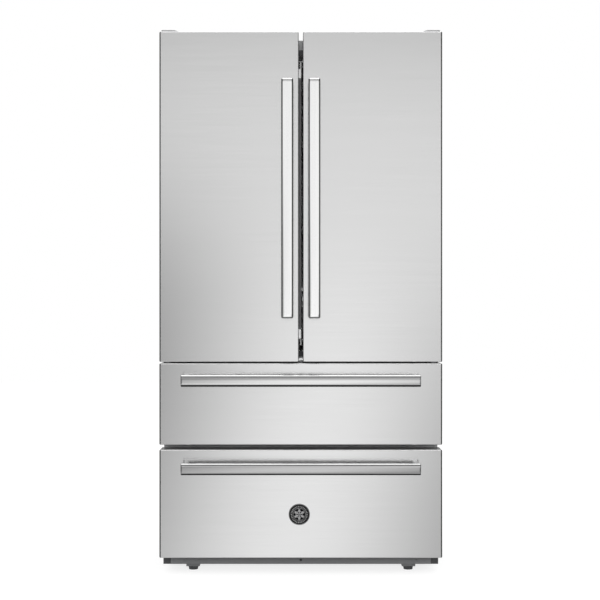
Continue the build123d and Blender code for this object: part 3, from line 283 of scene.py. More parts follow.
# edge and under tones: painted dark reflections on the bars' edges, painted shade underneath
uprightLook = dict(underShadeTone=0.28, underTurn=(-0.08, -0.20), edgeShadeTone=0.10, along="z")
acrossLook = dict(underShadeTone=0.015, edgeShadeTone=0.30, along="x", turn=0.25)
badgeBrush = dict(spread=0.02, roughLow=0.22, roughHigh=0.30, along="x")
finish = {
    "frontSteel": frontSheet("frontSteel", level=0.715, **frontBrush),
    "uprightBar": barSteel("uprightBar", level=0.87, **uprightLook, **barBrush),
    # the two drawer bars are one steel painted at two levels, lighter on the upper drawer's bar: painted
    # light and shade
    "levelBar": barSteel("levelBar", level=0.48, underTurn=(-0.24, -0.38), **acrossLook, **barBrush),
    "shadedBar": shadedBar("shadedBar", level=0.70, underTurn=(-0.16, -0.30), **acrossLook, **barBrush),
    "casePaint": mouldedSkin("casePaint", (0.335, 0.338, 0.342), 0.42, skin=520.0, depth=0.00008),
    "rearSheet": platedSheet("rearSheet", (0.50, 0.51, 0.52), (0.64, 0.65, 0.66), 55.0, 0.38, 0.52),
    "foam": mouldedSkin("foam", (0.78, 0.66, 0.36), 0.9, 0.1, 240.0, 0.0006),
    "whiteLiner": mouldedSkin("whiteLiner", (0.80, 0.81, 0.81), 0.22, 0.012, 300.0, 0.00002),
    "sealRubber": mouldedSkin("sealRubber", (0.085, 0.087, 0.09), 0.62, 0.12, 900.0, 0.00005),
    "clearPlastic": clearBody("clearPlastic", (0.93, 0.96, 0.97), 0.07, 1.49, 0.55),
    "crisperPlastic": clearBody("crisperPlastic", (0.90, 0.93, 0.94), 0.10, 1.30, 0.45),
    "basketPlastic": mouldedSkin("basketPlastic", (0.62, 0.65, 0.67), 0.3, 0.02),
    "shelfTrim": mouldedSkin("shelfTrim", (0.72, 0.73, 0.74), 0.28, 0.02),
    "shelfGlass": clearBody("shelfGlass", (0.90, 0.97, 0.94), 0.03, 1.52, 0.55),
    "zincSteel": platedSheet("zincSteel", (0.52, 0.53, 0.55), (0.62, 0.63, 0.64), 180.0, 0.28, 0.42),
    "darkPlastic": mouldedSkin("darkPlastic", (0.072, 0.073, 0.076), 0.5, 0.08, 800.0, 0.00006),
    "kickPaint": mouldedSkin("kickPaint", (0.20, 0.202, 0.206), 0.48, 0.05, 620.0, 0.00006),
    "kickEndPlastic": mouldedSkin("kickEndPlastic", (0.060, 0.061, 0.063), 0.55, 0.14, 420.0, 0.0002),
    "mullionGrey": mouldedSkin("mullionGrey", (0.20, 0.202, 0.206), 0.4, 0.05),
    "capPlastic": mouldedSkin("capPlastic", (0.90, 0.90, 0.90), 0.34, 0.02),
    "capPearl": mouldedSkin("capPearl", (0.86, 0.86, 0.86), 0.09, 0.02, 60.0, 0.000005, Metallic=0.45),
    "coverPlastic": mouldedSkin("coverPlastic", (0.33, 0.33, 0.335), 0.4, 0.04),
    "controlPlastic": mouldedSkin("controlPlastic", (0.74, 0.75, 0.76), 0.3, 0.02),
    "badgeBlack": mouldedSkin("badgeBlack", (0.0035, 0.0035, 0.004), 0.45, 0.2, Specular_IOR_Level=0.02),
    "badgeSteel": brushedSteel("badgeSteel", level=0.62, **badgeBrush),
    "badgeRim": brushedSteel("badgeRim", level=0.20, **badgeBrush),
    "canBlack": mouldedSkin("canBlack", (0.02, 0.02, 0.022), 0.38, 0.15, 260.0, 0.0001),
    "coilMetal": platedSheet("coilMetal", (0.62, 0.60, 0.57), (0.74, 0.72, 0.69), 90.0, 0.3, 0.45),
    "lampLens": mouldedSkin("lampLens", (0.88, 0.89, 0.90), 0.35, 0.01, 1200.0, 0.00005),
    "touchGlass": mouldedSkin("touchGlass", (0.02, 0.021, 0.024), 0.1, 0.1, Coat_Weight=0.5),
}

fronts = ("left_door", "right_door", "upper_drawer", "lower_drawer")
nodeFinish = {  # a star stands for each of the fronts
    "frontSteel": "*_skin",
    "uprightBar": "left_door_handle right_door_handle",
    "levelBar": "upper_drawer_handle lower_drawer_handle",
    "casePaint": "outer_case",
    "rearSheet": "rear_panel",
    "foam": "*_insulation cabinet_insulation",
    "whiteLiner": "*_liner fridge_liner freezer_liners air_tower evaporator_cover shelf_tracks",
    "sealRubber": "*_seal",
    "clearPlastic": "left_door_bins right_door_bins",
    "crisperPlastic": "left_crisper right_crisper",
    "basketPlastic": "upper_basket lower_basket",
    "shelfTrim": "shelf_frames",
    "shelfGlass": "shelf_glass",
    "zincSteel": "outer_runners upper_mid_runners lower_mid_runners upper_inner_runners"
                 " lower_inner_runners door_hinges screws",
    "darkPlastic": "left_levelling_leg right_levelling_leg left_rear_roller right_rear_roller"
                   " condenser_fan evaporator_fan condenser_fan_motor",
    "kickPaint": "kick_plate base_frame",
    "mullionGrey": "mullion_bar",
    "capPearl": "mullion_caps",
    "coverPlastic": "hinge_covers",
    "controlPlastic": "control_panel",
    "badgeBlack": "badge",
    "canBlack": "compressor",
    "coilMetal": "evaporator_coil condenser_coil",
}
for finishName, words in nodeFinish.items():
    for word in words.split():
        for front in fronts if "*" in word else ("",):
            mesh = nodes[word.replace("*", front)].data
            mesh.materials.clear()
            mesh.materials.append(finish[finishName])
print("finishes:", len(finish))


# quads between neighbouring rows and columns of a grid of points; a closed way joins its last to its
# first
def gridQuads(rows, columns, closeRows=False, closeColumns=False):
    index = np.arange(rows * columns).reshape(rows, columns)
    if closeRows:
        index = np.vstack([index, index[:1]])
    if closeColumns:
        index = np.hstack([index, index[:, :1]])
    return np.stack([index[:-1, :-1], index[1:, :-1], index[1:, 1:], index[:-1, 1:]], -1).reshape(-1, 4)


weld = dict(points=1e-6, edges=1e-7)  # what lies nearer together than this is one


# one object from several (points, quads) pairs: doubles merged, faces turned outwards, riding on a body
def makePiece(name, parts, finishName, body, slotName, smooth=50.0, outward=True):
    points, quads, count = [], [], 0
    for partPoints, partQuads in parts:
        partPoints = np.asarray(partPoints, float).reshape(-1, 3)
        points.append(partPoints)
        quads.append(partQuads + count)
        count += len(partPoints)
    mesh = bpy.data.meshes.new(name)
    mesh.from_pydata(np.vstack(points).tolist(), [], np.vstack(quads).tolist())
    work = bmesh.new()
    work.from_mesh(mesh)
    bmesh.ops.remove_doubles(work, verts=work.verts, dist=weld["points"])
    bmesh.ops.dissolve_degenerate(work, edges=work.edges, dist=weld["edges"])
    if outward:
        bmesh.ops.recalc_face_normals(work, faces=work.faces)
    work.to_mesh(mesh)
    work.free()
    mesh.shade_smooth()
    mesh.set_sharp_from_angle(angle=np.radians(smooth))
    mesh.materials.append(finish[finishName])
    piece = bpy.data.objects.new(name, mesh)
    scene.collection.objects.link(piece)
    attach(piece, body)
    return piece


# local columns (across, deep, along) put to the frame's axes for a bar that runs along x or z
def turned(across, deep, along, axis):
    return np.stack({"z": (across, deep, along), "x": (along, deep, across)}[axis], -1)


# steps once round a circle
def roundSteps(count):
    return np.linspace(0.0, 2 * np.pi, count, endpoint=False)


# unit directions on a plane, from the cosine and sine of each turn
def raysOf(turn):
    return np.stack([np.cos(turn), np.sin(turn)], -1)


# superellipse |a|^power + |b|^power = 1, each coordinate a signed power of the cosine or the sine
def squaredRound(around, power):
    rays = raysOf(roundSteps(around)).T
    return np.sign(rays) * np.abs(rays) ** (2 / power)


# bar: a superellipse carried along a straight path, drawn in at both ends by a quarter circle and closed
# on the middle
def barPart(centre, length, shape, axis="x", around=48, steps=6, lastRow=2.5):
    a, b = squaredRound(around, shape["power"])
    endRound = shape["endRound"]
    lean = np.linspace(0.0, np.pi / 2, steps)
    inset = np.append(endRound * (1 - np.sin(lean)), 0.0)
    # the last row stands a few rounds inside the end, and keeps the long face flat in shading
    reach = np.append(length / 2 - endRound * (1 - np.cos(lean)), length / 2 - lastRow * endRound)
    along = np.concatenate([[-length / 2], -reach, reach[::-1], [length / 2]])
    draw = np.concatenate([inset, inset[::-1]])
    across = np.concatenate([[0.0], shape["wide"] / 2 - draw, [0.0]])
    deep = np.concatenate([[0.0], shape["thick"] / 2 - draw, [0.0]])
    points = turned(across[:, None] * a, deep[:, None] * b, np.repeat(along[:, None], around, 1), axis)
    return points + np.asarray(centre), gridQuads(len(along), around, closeColumns=True)


# lathe: a profile of (radius, height) turned about y, the height counted towards the front
def lathePart(profile, centre, around=48, facing=-1.0):
    profile = np.asarray(profile, float)
    turn = roundSteps(around)
    points = np.stack([
        profile[:, :1] * np.cos(turn),
        np.repeat(facing * profile[:, 1:2], around, 1),
        profile[:, :1] * np.sin(turn),
    ], -1)
    return points + np.asarray(centre), gridQuads(len(profile), around, closeColumns=True)


# ridge: a circle of small radius turned about y at a larger radius
def ringPart(centre, radius, thick, around=40, steps=9):
    lean = np.linspace(0.0, 2 * np.pi, steps)
    rows = np.stack([radius + thick / 2 * np.cos(lean), thick / 2 + thick / 2 * np.sin(lean)], -1)
    return lathePart(rows, centre, around)


# strips: each segment of a drawing on a plane becomes a low ridge, its top drawn in from its foot
def stripPart(starts, ends, wide, low, high, topShare=0.8):
    starts, ends = np.asarray(starts, float), np.asarray(ends, float)
    run = ends - starts
    run /= np.linalg.norm(run, axis=1, keepdims=True)
    side = np.stack([-run[:, 1], run[:, 0]], -1) * wide / 2
    foot = [starts - side, starts + side, ends + side, ends - side]
    slim, cut = side * topShare, run * wide / 4
    top = [starts - slim + cut, starts + slim + cut, ends + slim - cut, ends - slim - cut]
    flat = np.stack(foot + top, 1)
    height = np.array([low] * 4 + [high] * 4)
    points = np.stack([flat[..., 0], np.broadcast_to(height, flat.shape[:2]), flat[..., 1]], -1)
    box = np.array([[0, 1, 2, 3], [4, 5, 6, 7], [0, 1, 5, 4], [1, 2, 6, 5], [2, 3, 7, 6], [3, 0, 4, 7]])
    quads = (box[None] + 8 * np.arange(len(starts))[:, None, None]).reshape(-1, 4)
    return points, quads


def addModifier(piece, kind, **values):
    made = piece.modifiers.new(kind.title(), kind)
    for key, value in values.items():
        setattr(made, key, value)


# bar handles: flat-faced upright bars on the doors, rounder level bars on the drawers
barHandle = dict(
    thick=0.022, endRound={"z": 0.0055, "x": 0.0022}, power={"z": 7.0, "x": 3.6},
    post=0.020, postWide=0.030, postInset=0.0015, postPower=6.7, waist=0.97, waistAt=0.2,
    around=96, steps=7,
)


# post: a squarish superellipse carried back to the front, slightly waisted between its two feet
def postPart(centre, wideX, wideZ, reach, around=40):
    a, b = squaredRound(around, barHandle["postPower"])
    half, waistAt, waist = 0.5, barHandle["waistAt"], barHandle["waist"]
    depth = np.array([-half, -half, -waistAt, waistAt, half, half]) * reach
    grow = np.array([0.0, 1.0, waist, waist, 1.0, 0.0])
    points = np.stack([
        grow[:, None] * a * wideX / 2,
        np.repeat(depth[:, None], around, 1),
        grow[:, None] * b * wideZ / 2,
    ], -1)
    return points + np.asarray(centre), gridQuads(len(depth), around, closeColumns=True)


def handlePiece(front, axis, finishName):
    node = front + "_handle"
    low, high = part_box(node)
    middle, size = (low + high) / 2, high - low
    along = {"x": 0, "z": 2}[axis]
    length, thick, post = size[along], barHandle["thick"], barHandle["post"]
    shape = {word: barHandle[word][axis] for word in ("endRound", "power")}
    section = dict(thick=thick, wide=size[2 - along], **shape)
    centre, fineness = (middle.x, low.y + thick / 2, middle.z), (barHandle["around"], barHandle["steps"])
    parts = [barPart(centre, length, section, axis, *fineness)]
    reach = size.y - thick
    for end in (-1, 1):
        centre = Vector((middle.x, low.y + thick + reach / 2, middle.z))
        centre[along] += end * (length / 2 - barHandle["postInset"] - post / 2)
        foot = (barHandle["postWide"], post) if axis == "z" else (post, barHandle["postWide"])
        parts.append(postPart(centre, *foot, reach))
    bar = makePiece(node + "_brushed", parts, finishName, front, "handle_steel")
    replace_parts(bar, node)


barLooks = (("z", "uprightBar"), ("z", "uprightBar"), ("x", "shadedBar"), ("x", "levelBar"))
for front, (axis, look) in zip(fronts, barLooks):
    handlePiece(front, axis, look)
print("handles: 4")


# round badge: steel rim, black field, raised frost star inside a ring and a circle of ticks
badgeLook = dict(
    rim=0.0036, field=0.0013, fall=0.35, star=0.0026, foot=0.0006, line=0.0021, hub=0.0015, arm=0.0172,
    arms=6, lean=np.pi / 3.4, branches=((0.42, 0.0062), (0.68, 0.0050), (0.88, 0.0032)),
    ring=0.0198, ringThick=0.0016, tickIn=0.0226, tickOut=0.0276, ticks=30,
    rimWall=0.55, rimSteps=12, fieldSteps=10, around=72,
)


# star drawn in segments: straight arms, each with three pairs of leaning branches, and the ticks round
# them
def starSegments():
    turn = np.arange(badgeLook["arms"]) * 2 * np.pi / badgeLook["arms"] + np.pi / 6
    ways = raysOf(turn)
    starts, ends = [ways * badgeLook["hub"]], [ways * badgeLook["arm"]]
    for place, reach in badgeLook["branches"]:
        for lean in (-badgeLook["lean"], badgeLook["lean"]):
            root = ways * badgeLook["arm"] * place
            starts.append(root)
            ends.append(root + reach * raysOf(turn + lean))
    rays = raysOf(roundSteps(badgeLook["ticks"]))
    starts.append(rays * badgeLook["tickIn"])
    ends.append(rays * badgeLook["tickOut"])
    return np.vstack(starts), np.vstack(ends)


def badgePieces():
    low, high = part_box("badge")
    centre, size = (low + high) / 2, high - low
    base = np.array((centre.x, high.y, centre.z))
    radius, rim = size.x / 2, badgeLook["rim"]
    inner, around, wall = radius - rim, badgeLook["around"], badgeLook["rimWall"]
    # rim: half a wave across its width, on short upright walls
    lean = np.linspace(0.0, np.pi, badgeLook["rimSteps"])
    rise = size.y * (wall + (1 - wall) * np.sin(lean))
    arch = np.stack([radius - rim / 2 * (1 - np.cos(lean)), rise], -1)
    rows = np.vstack([[(radius, 0.0)], arch, [(inner, 0.0)], [(radius, 0.0)]])
    ring = lathePart(rows, base, around)
    rimPiece = makePiece("badge_rim", [ring], "badgeRim", "lower_drawer", "handle_steel", smooth=60.0)
    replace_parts(rimPiece, "badge")
    # field: a shallow dome that falls off with the square of the radius
    spread = np.linspace(0.0, 1.0, badgeLook["fieldSteps"])
    dome = np.stack([inner * spread, badgeLook["field"] * (1 - badgeLook["fall"] * spread ** 2)], -1)
    field = lathePart(np.vstack([dome, [(inner, 0.0), (0.0, 0.0)]]), base, around)
    makePiece("badge_field", [field], "badgeBlack", "lower_drawer", "badge_black", smooth=30.0)
    points, quads = stripPart(*starSegments(), badgeLook["line"], -badgeLook["foot"], -badgeLook["star"])
    thin = ringPart(base - (0, badgeLook["foot"], 0), badgeLook["ring"], badgeLook["ringThick"], around)
    parts = [(points + base, quads), thin]
    makePiece("badge_star", parts, "badgeSteel", "lower_drawer", "handle_steel", smooth=20.0)


badgePieces()
print("badge: 3 pieces")


# soft seals: a bellows section carried round a rounded rectangle on the back of each front
sealShape = dict(
    wide=0.018, corner=0.007, folds=2.0, waist=0.20, tip=0.16, tipDraw=0.75, rows=26, cornerSteps=8,
)


def sealPiece(front):
    node = front + "_seal"
    low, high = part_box(node)
    depth, wide = high.y - low.y, sealShape["wide"]
    # half-width ripples down the depth like a bellows, and rounds off at the tip that meets the case
    up = np.linspace(0.0, 1.0, sealShape["rows"])
    ripple = 1 - sealShape["waist"] * (0.5 - 0.5 * np.cos(2 * np.pi * sealShape["folds"] * up))
    tip = np.clip((up - 1 + sealShape["tip"]) / sealShape["tip"], 0, 1)
    half = wide / 2 * ripple * np.sqrt(1 - sealShape["tipDraw"] * tip ** 2)
    section = np.vstack([np.stack([half, up * depth], -1), np.stack([-half, up * depth], -1)[::-1]])
    # path: the middle line of the ring, each corner turned in a few steps
    corner, steps = sealShape["corner"], sealShape["cornerSteps"]
    inset = wide / 2 + corner
    x0, x1, z0, z1 = low.x + inset, high.x - inset, low.z + inset, high.z - inset
    lean = np.linspace(0.0, np.pi / 2, steps)
    turn = (np.arange(4)[:, None] * np.pi / 2 + lean).ravel()
    cornerX, cornerZ = np.repeat([x1, x0, x0, x1], steps), np.repeat([z1, z1, z0, z0], steps)
    reach = corner + section[:, 0]
    points = np.stack([
        cornerX[:, None] + np.cos(turn)[:, None] * reach,
        np.repeat((low.y + section[:, 1])[None], len(turn), 0),
        cornerZ[:, None] + np.sin(turn)[:, None] * reach,
    ], -1)
    quads = gridQuads(len(turn), len(section), True, True)
    seal = makePiece(node + "_bellows", [(points, quads)], "sealRubber", front, "seal_rubber")
    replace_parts(seal, node)


for front in fronts:
    sealPiece(front)
print("seals: 4")


# hinge covers: a cage with a sloping inner end, its edges rounded and its wall given thickness
coverShape = dict(
    wall=0.0022, slope=0.047, width=0.088, round=0.003, roundSteps=4, lift=0.00075, toe=0.00625,
)


# corners of one cover: outer wall, roof, slope, low inner wall and both ends; its front half ends above
# the door
def coverCage(side, low, high, stepY, doorTop, caseTop):
    outer, inner = high.x, high.x - coverShape["width"]
    top, toe = high.z, caseTop + coverShape["toe"]
    edge = doorTop + coverShape["lift"]
    shoulder = inner + coverShape["slope"]
    cut = inner + coverShape["slope"] * (edge - toe) / (top - toe)
    front = [(outer, low.y, edge), (outer, low.y, top), (shoulder, low.y, top), (cut, low.y, edge)]
    step = [(outer, stepY, edge), (outer, stepY, caseTop), (cut, stepY, edge), (inner, stepY, toe),
            (inner, stepY, caseTop)]
    back = [(outer, high.y, caseTop), (outer, high.y, top), (shoulder, high.y, top),
            (inner, high.y, toe), (inner, high.y, caseTop)]
    outerWall, innerWall = [0, 4, 5, 9, 10, 1], [7, 12, 13, 8]
    roof, slope = [1, 10, 11, 2], [2, 11, 12, 7, 6, 3]
    frontEnd, backEnd = [0, 1, 2, 3], [9, 13, 12, 11, 10]
    faces = [outerWall, roof, slope, innerWall, frontEnd, backEnd]
    return np.array(front + step + back) * (side, 1, 1), faces


def hingeCoverPieces():
    low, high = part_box("hinge_covers")
    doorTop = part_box("left_door_skin")[1].z
    caseLow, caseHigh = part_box("outer_case")
    for word, side in (("left", -1), ("right", 1)):
        corners, faces = coverCage(side, low, high, caseLow.y, doorTop, caseHigh.z)
        mesh = bpy.data.meshes.new(word + "_hinge_cover")
        mesh.from_pydata(corners.tolist(), [], faces)
        work = bmesh.new()
        work.from_mesh(mesh)
        bmesh.ops.recalc_face_normals(work, faces=work.faces)
        roof = max(work.faces, key=lambda face: face.calc_center_median().z)
        if roof.normal.z < 0:  # an open cage can come out inside out
            bmesh.ops.reverse_faces(work, faces=work.faces)
        work.to_mesh(mesh)
        work.free()
        mesh.shade_smooth()
        mesh.materials.append(finish["coverPlastic"])
        cover = bpy.data.objects.new(word + "_hinge_cover", mesh)
        scene.collection.objects.link(cover)
        rounding = dict(width=coverShape["round"], segments=coverShape["roundSteps"])
        addModifier(cover, "BEVEL", limit_method="ANGLE", **rounding)
        addModifier(cover, "SOLIDIFY", thickness=coverShape["wall"], offset=-1.0)
        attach(cover, "cabinet")
        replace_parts(cover, "hinge_covers")


hingeCoverPieces()
print("hinge covers: 2")


# screws: a head domed by the cube of the radius, with a cross sunk in it, and a plain shank
screwShape = dict(
    head=0.004, rise=0.002, fall=0.55, shank=0.002, length=0.014, cross=0.0024, arm=0.0007, sink=0.0009,
    edge=0.0003, kickInset=0.068, rearInset=0.008, upperBayMiddle=0.54925, rows=14, around=40,
)


def screwPart(centre, facing):
    head, shank, length = screwShape["head"], screwShape["shank"], screwShape["length"]
    spread = np.linspace(0.0, 1.0, screwShape["rows"])
    dome = np.stack([head * spread, screwShape["rise"] * (1 - screwShape["fall"] * spread ** 3)], -1)
    tail = [(head, 0.0), (shank, 0.0), (shank, -length), (0.0, -length)]
    points, quads = lathePart(np.vstack([dome, tail]), (0, 0, 0), screwShape["around"], facing)
    # the cross sinks points of the dome that lie near either axis
    sideways, upright = np.abs(points[..., 0]), np.abs(points[..., 2])
    inArm = np.clip((screwShape["arm"] - np.minimum(sideways, upright)) / screwShape["edge"], 0, 1)
    inCross = np.clip((screwShape["cross"] - np.maximum(sideways, upright)) / screwShape["edge"], 0, 1)
    sunk = inArm * inCross
    sunk[len(dome):] = 0.0
    points[..., 1] -= facing * screwShape["sink"] * sunk
    return points + np.asarray(centre), quads


def screwPieces():
    low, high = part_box("screws")
    kickY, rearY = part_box("kick_plate")[0].y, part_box("rear_panel")[1].y
    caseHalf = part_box("outer_case")[1].x
    fridgeLow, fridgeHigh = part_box("fridge_liner")
    kickX, kickZ = caseHalf - screwShape["kickInset"], low.z + screwShape["head"]
    kickScrews = {"kick_screw": ("canBlack", [0.0]), "kick_end_screws": ("kickPaint", [-kickX, kickX])}
    for name, (look, places) in kickScrews.items():
        parts = [screwPart((x, kickY, kickZ), -1.0) for x in places]
        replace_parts(makePiece(name, parts, look, "cabinet", "zinc_steel", smooth=35.0), "screws")
    rearX = caseHalf - screwShape["rearInset"]
    fridgeMiddle = (fridgeLow.z + fridgeHigh.z) / 2
    heights = (high.z - screwShape["head"], fridgeMiddle, screwShape["upperBayMiddle"])
    parts = [screwPart((end * rearX, rearY, z), 1.0) for z in heights for end in (-1, 1)]
    rearScrews = makePiece("rear_screws", parts, "zincSteel", "cabinet", "zinc_steel", smooth=35.0)
    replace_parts(rearScrews, "screws")


screwPieces()
print("screws: 9")


# kick plate: a dark grained cap on each stepped end
kickEnd = dict(
    length=0.0235, wide=0.0335, thick=0.0016, power=9.0, endRound=0.0006,
    step=0.0015, ends=0.025, margin=0.0005,
)


def kickEndPieces():
    low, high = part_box("kick_plate")
    y, z = low.y + kickEnd["step"], low.z + kickEnd["wide"] / 2 + kickEnd["margin"]
    x = high.x - kickEnd["ends"] / 2
    parts = [barPart((side * x, y, z), kickEnd["length"], kickEnd) for side in (-1, 1)]
    makePiece("kick_end_caps", parts, "kickEndPlastic", "cabinet", "dark_plastic")


kickEndPieces()
print("kick plate ends: 2")


# rear panel: pressed hoods over the air slots, long stiffening beads, a rubber bush in the cord's hole
hoodShape = dict(
    wide=0.076, high=0.0085, proud=0.0015, wall=0.0004,
    columns=6, rows=6, pitchX=0.1, pitchZ=0.020, firstRow=0.0775,
    across=13, down=6, lip=0.8, ends=6,
)
rearBead = dict(
    wide=0.026, thick=0.0032, power=2.4, endRound=0.0015, around=40, steps=5,
    foot=0.42, top=1.64, places=(-0.30, -0.10, 0.10, 0.30),
)
cordBush = dict(x=0.39, rise=0.040, radius=0.0076, thick=0.0044, flat=0.0015, steps=17, around=36)


def hoodPieces():
    low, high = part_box("rear_panel")
    # hood: rises by a power of the sine from its top edge to an open lip, and dies away to both ends by
    # 1 - |u|^ends
    across, down = hoodShape["across"], hoodShape["down"]
    u, v = np.meshgrid(np.linspace(-1, 1, across), np.linspace(0, 1, down))
    fade = 1 - np.abs(u) ** hoodShape["ends"]
    rise = hoodShape["proud"] * np.sin(np.pi / 2 * v) ** hoodShape["lip"] * fade
    hood = np.stack([u * hoodShape["wide"] / 2, high.y + rise, -v * hoodShape["high"]], -1)
    hood = hood.reshape(-1, 3)
    column, row = np.meshgrid(np.arange(hoodShape["columns"]), np.arange(hoodShape["rows"]))
    shiftX = (column - (hoodShape["columns"] - 1) / 2) * hoodShape["pitchX"]
    shiftZ = low.z + hoodShape["firstRow"] + row * hoodShape["pitchZ"]
    shift = np.stack([shiftX, np.zeros_like(shiftX), shiftZ], -1).reshape(-1, 1, 3)
    points = (hood[None] + shift).reshape(-1, 3)
    quads = gridQuads(down, across)[:, ::-1]
    parts = [(points, (quads[None] + len(hood) * np.arange(len(shift))[:, None, None]).reshape(-1, 4))]
    shading = dict(smooth=60.0, outward=False)
    hoods = makePiece("louvre_hoods", parts, "rearSheet", "cabinet", "rear_sheet", **shading)
    addModifier(hoods, "SOLIDIFY", thickness=hoodShape["wall"], offset=-1.0)


def rearDetail():
    low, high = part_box("rear_panel")
    middle, length = (rearBead["foot"] + rearBead["top"]) / 2, rearBead["top"] - rearBead["foot"]
    shape = (length, rearBead, "z", rearBead["around"], rearBead["steps"])
    beads = [barPart((x, high.y, middle), *shape) for x in rearBead["places"]]
    makePiece("rear_beads", beads, "rearSheet", "cabinet", "rear_sheet", smooth=60.0)
    # bush: a flat ellipse turned about the hole's axis
    lean = np.linspace(0.0, 2 * np.pi, cordBush["steps"])
    reach = cordBush["radius"] + cordBush["thick"] / 2 * np.cos(lean)
    rows = np.stack([reach, cordBush["flat"] * np.sin(lean)], -1)
    centre = (cordBush["x"], high.y, low.z + cordBush["rise"])
    bush = lathePart(rows, centre, cordBush["around"], 1.0)
    makePiece("cord_bush", [bush], "darkPlastic", "cabinet", "dark_plastic", smooth=60.0)


hoodPieces()
rearDetail()
print("rear panel: hoods, beads, bush")


# lamp housing: a domed lens under it, a touch strip with six dots along its front
lensShape = dict(wide=0.22, deep=0.07, drop=0.0022, back=0.0004, setback=0.012)
touchStrip = dict(
    long=0.20, wide=0.0085, thick=0.0012, power=5.0, endRound=0.0005, below=0.0075, around=32, steps=4,
)
touchDot = dict(radius=0.0022, rise=0.0004, proud=0.0005, count=6, reach=0.075, rows=5, around=20)


# domed plate hung under a ceiling: drop times the root of (1 - u^4) times the root of (1 - v^4), with a
# flat back
def lensPart(centre, columns=25, rows=13):
    u, v = np.meshgrid(np.linspace(-1, 1, columns), np.linspace(-1, 1, rows))
    fall = lensShape["drop"] * np.sqrt((1 - u ** 4) * (1 - v ** 4))
    x, y = u * lensShape["wide"] / 2, v * lensShape["deep"] / 2
    below, above = np.stack([x, y, -fall], -1), np.stack([x, y, np.full_like(u, lensShape["back"])], -1)
    quads, count = gridQuads(rows, columns), rows * columns
    index = np.arange(count).reshape(rows, columns)
    rim = np.concatenate([index[0, :-1], index[:-1, -1], index[-1, :0:-1], index[:0:-1, 0]])
    wall = np.stack([rim, np.roll(rim, -1), np.roll(rim, -1) + count, rim + count], -1)
    points = np.vstack([below.reshape(-1, 3), above.reshape(-1, 3)]) + np.asarray(centre)
    return points, np.vstack([quads, quads[:, ::-1] + count, wall])


def controlDetail():
    low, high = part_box("control_panel")
    middle = (low + high) / 2
    lens = lensPart((middle.x, middle.y + lensShape["setback"], low.z))
    makePiece("lamp_lens", [lens], "lampLens", "cabinet", "control_plastic", smooth=40.0)
    stripZ = high.z - touchStrip["below"]
    fineness = (touchStrip["around"], touchStrip["steps"])
    strip = barPart((0, low.y, stripZ), touchStrip["long"], touchStrip, "x", *fineness)
    makePiece("touch_strip", [strip], "touchGlass", "cabinet", "control_plastic")
    # dots: domes that fall off with the square of the radius
    spread = np.linspace(0.0, 1.0, touchDot["rows"])
    dome = np.stack([touchDot["radius"] * spread, touchDot["rise"] * (1 - spread ** 2)], -1)
    rows = np.vstack([dome, [(0.0, 0.0)]])
    places = np.linspace(-touchDot["reach"], touchDot["reach"], touchDot["count"])
    dotY, around = low.y - touchDot["proud"], touchDot["around"]
    dots = [lathePart(rows, (x, dotY, stripZ), around) for x in places]
    makePiece("touch_dots", dots, "capPlastic", "cabinet", "control_plastic")


# shelves: a brushed trim on each front edge, and a slider in the front of the crisper cover
shelfEdge = dict(
    wide=0.015, thick=0.005, power=4.0, endRound=0.0015, drop=0.008, proud=0.001,
    rises=(0.420, 0.700), setback=0.156, middle=0.003, side=0.0057, liner=0.0025,
)
crisperCover = dict(gap=0.006, rim=0.016, short=0.002)
sliderSlot = dict(
    long=0.085, wide=0.007, thick=0.0008, power=5.0, endRound=0.0004, proud=0.0035, x=0.2,
    around=28, steps=4,
)
sliderKnob = dict(
    long=0.018, wide=0.0105, thick=0.004, power=4.0, endRound=0.0012, proud=0.0048, shift=0.018,
    around=36, steps=5,
)


def shelfDetail():
    low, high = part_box("shelf_frames")
    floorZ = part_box("fridge_liner")[0].z + shelfEdge["liner"]
    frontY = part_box("outer_case")[0].y + shelfEdge["setback"] - shelfEdge["proud"]
    inner, outer = shelfEdge["middle"], high.x - shelfEdge["side"]
    parts = []
    for rise in shelfEdge["rises"]:
        for side in (-1, 1):
            centre = (side * (inner + outer) / 2, frontY, floorZ + rise - shelfEdge["drop"])
            parts.append(barPart(centre, outer - inner, shelfEdge))
    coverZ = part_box("left_crisper")[1].z + crisperCover["gap"] + crisperCover["rim"] - shelfEdge["drop"]
    coverLength = 2 * high.x - crisperCover["short"]
    parts.append(barPart((0, low.y - shelfEdge["proud"], coverZ), coverLength, shelfEdge))
    makePiece("shelf_trims", parts, "levelBar", "cabinet", "shelf_trim")
    sliders = (
        ("slider_slots", "darkPlastic", sliderSlot, 0.0),
        ("slider_knobs", "capPlastic", sliderKnob, sliderKnob["shift"]),
    )
    for name, look, shape, shift in sliders:
        fineness = (shape["around"], shape["steps"])
        centres = [(side * sliderSlot["x"] + shift, low.y - shape["proud"], coverZ) for side in (-1, 1)]
        parts = [barPart(centre, shape["long"], shape, "x", *fineness) for centre in centres]
        makePiece(name, parts, look, "cabinet", "shelf_trim")


# door bins: a brushed rail along the top of each bin's front
binRail = dict(
    wide=0.010, thick=0.007, power=4.0, endRound=0.0015,
    pitch=0.235, rise=0.080, sunk=0.0012, short=0.0002, bins=3,
)


def binDetail():
    for word in ("left", "right"):
        low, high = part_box(word + "_door_bins")
        middleX, y = (low.x + high.x) / 2, high.y - binRail["sunk"]
        length = high.x - low.x - binRail["short"]
        heights = low.z + binRail["rise"] + binRail["pitch"] * np.arange(binRail["bins"])
        rails = [barPart((middleX, y, z), length, binRail) for z in heights]
        makePiece(word + "_bin_rails", rails, "levelBar", word + "_door", "clear_plastic")


# centre stop: a small pale plate on the case face, low between the two doors' seals
centreStop = dict(long=0.020, wide=0.0085, thick=0.0016, power=7.0, endRound=0.0006, rise=0.0045)


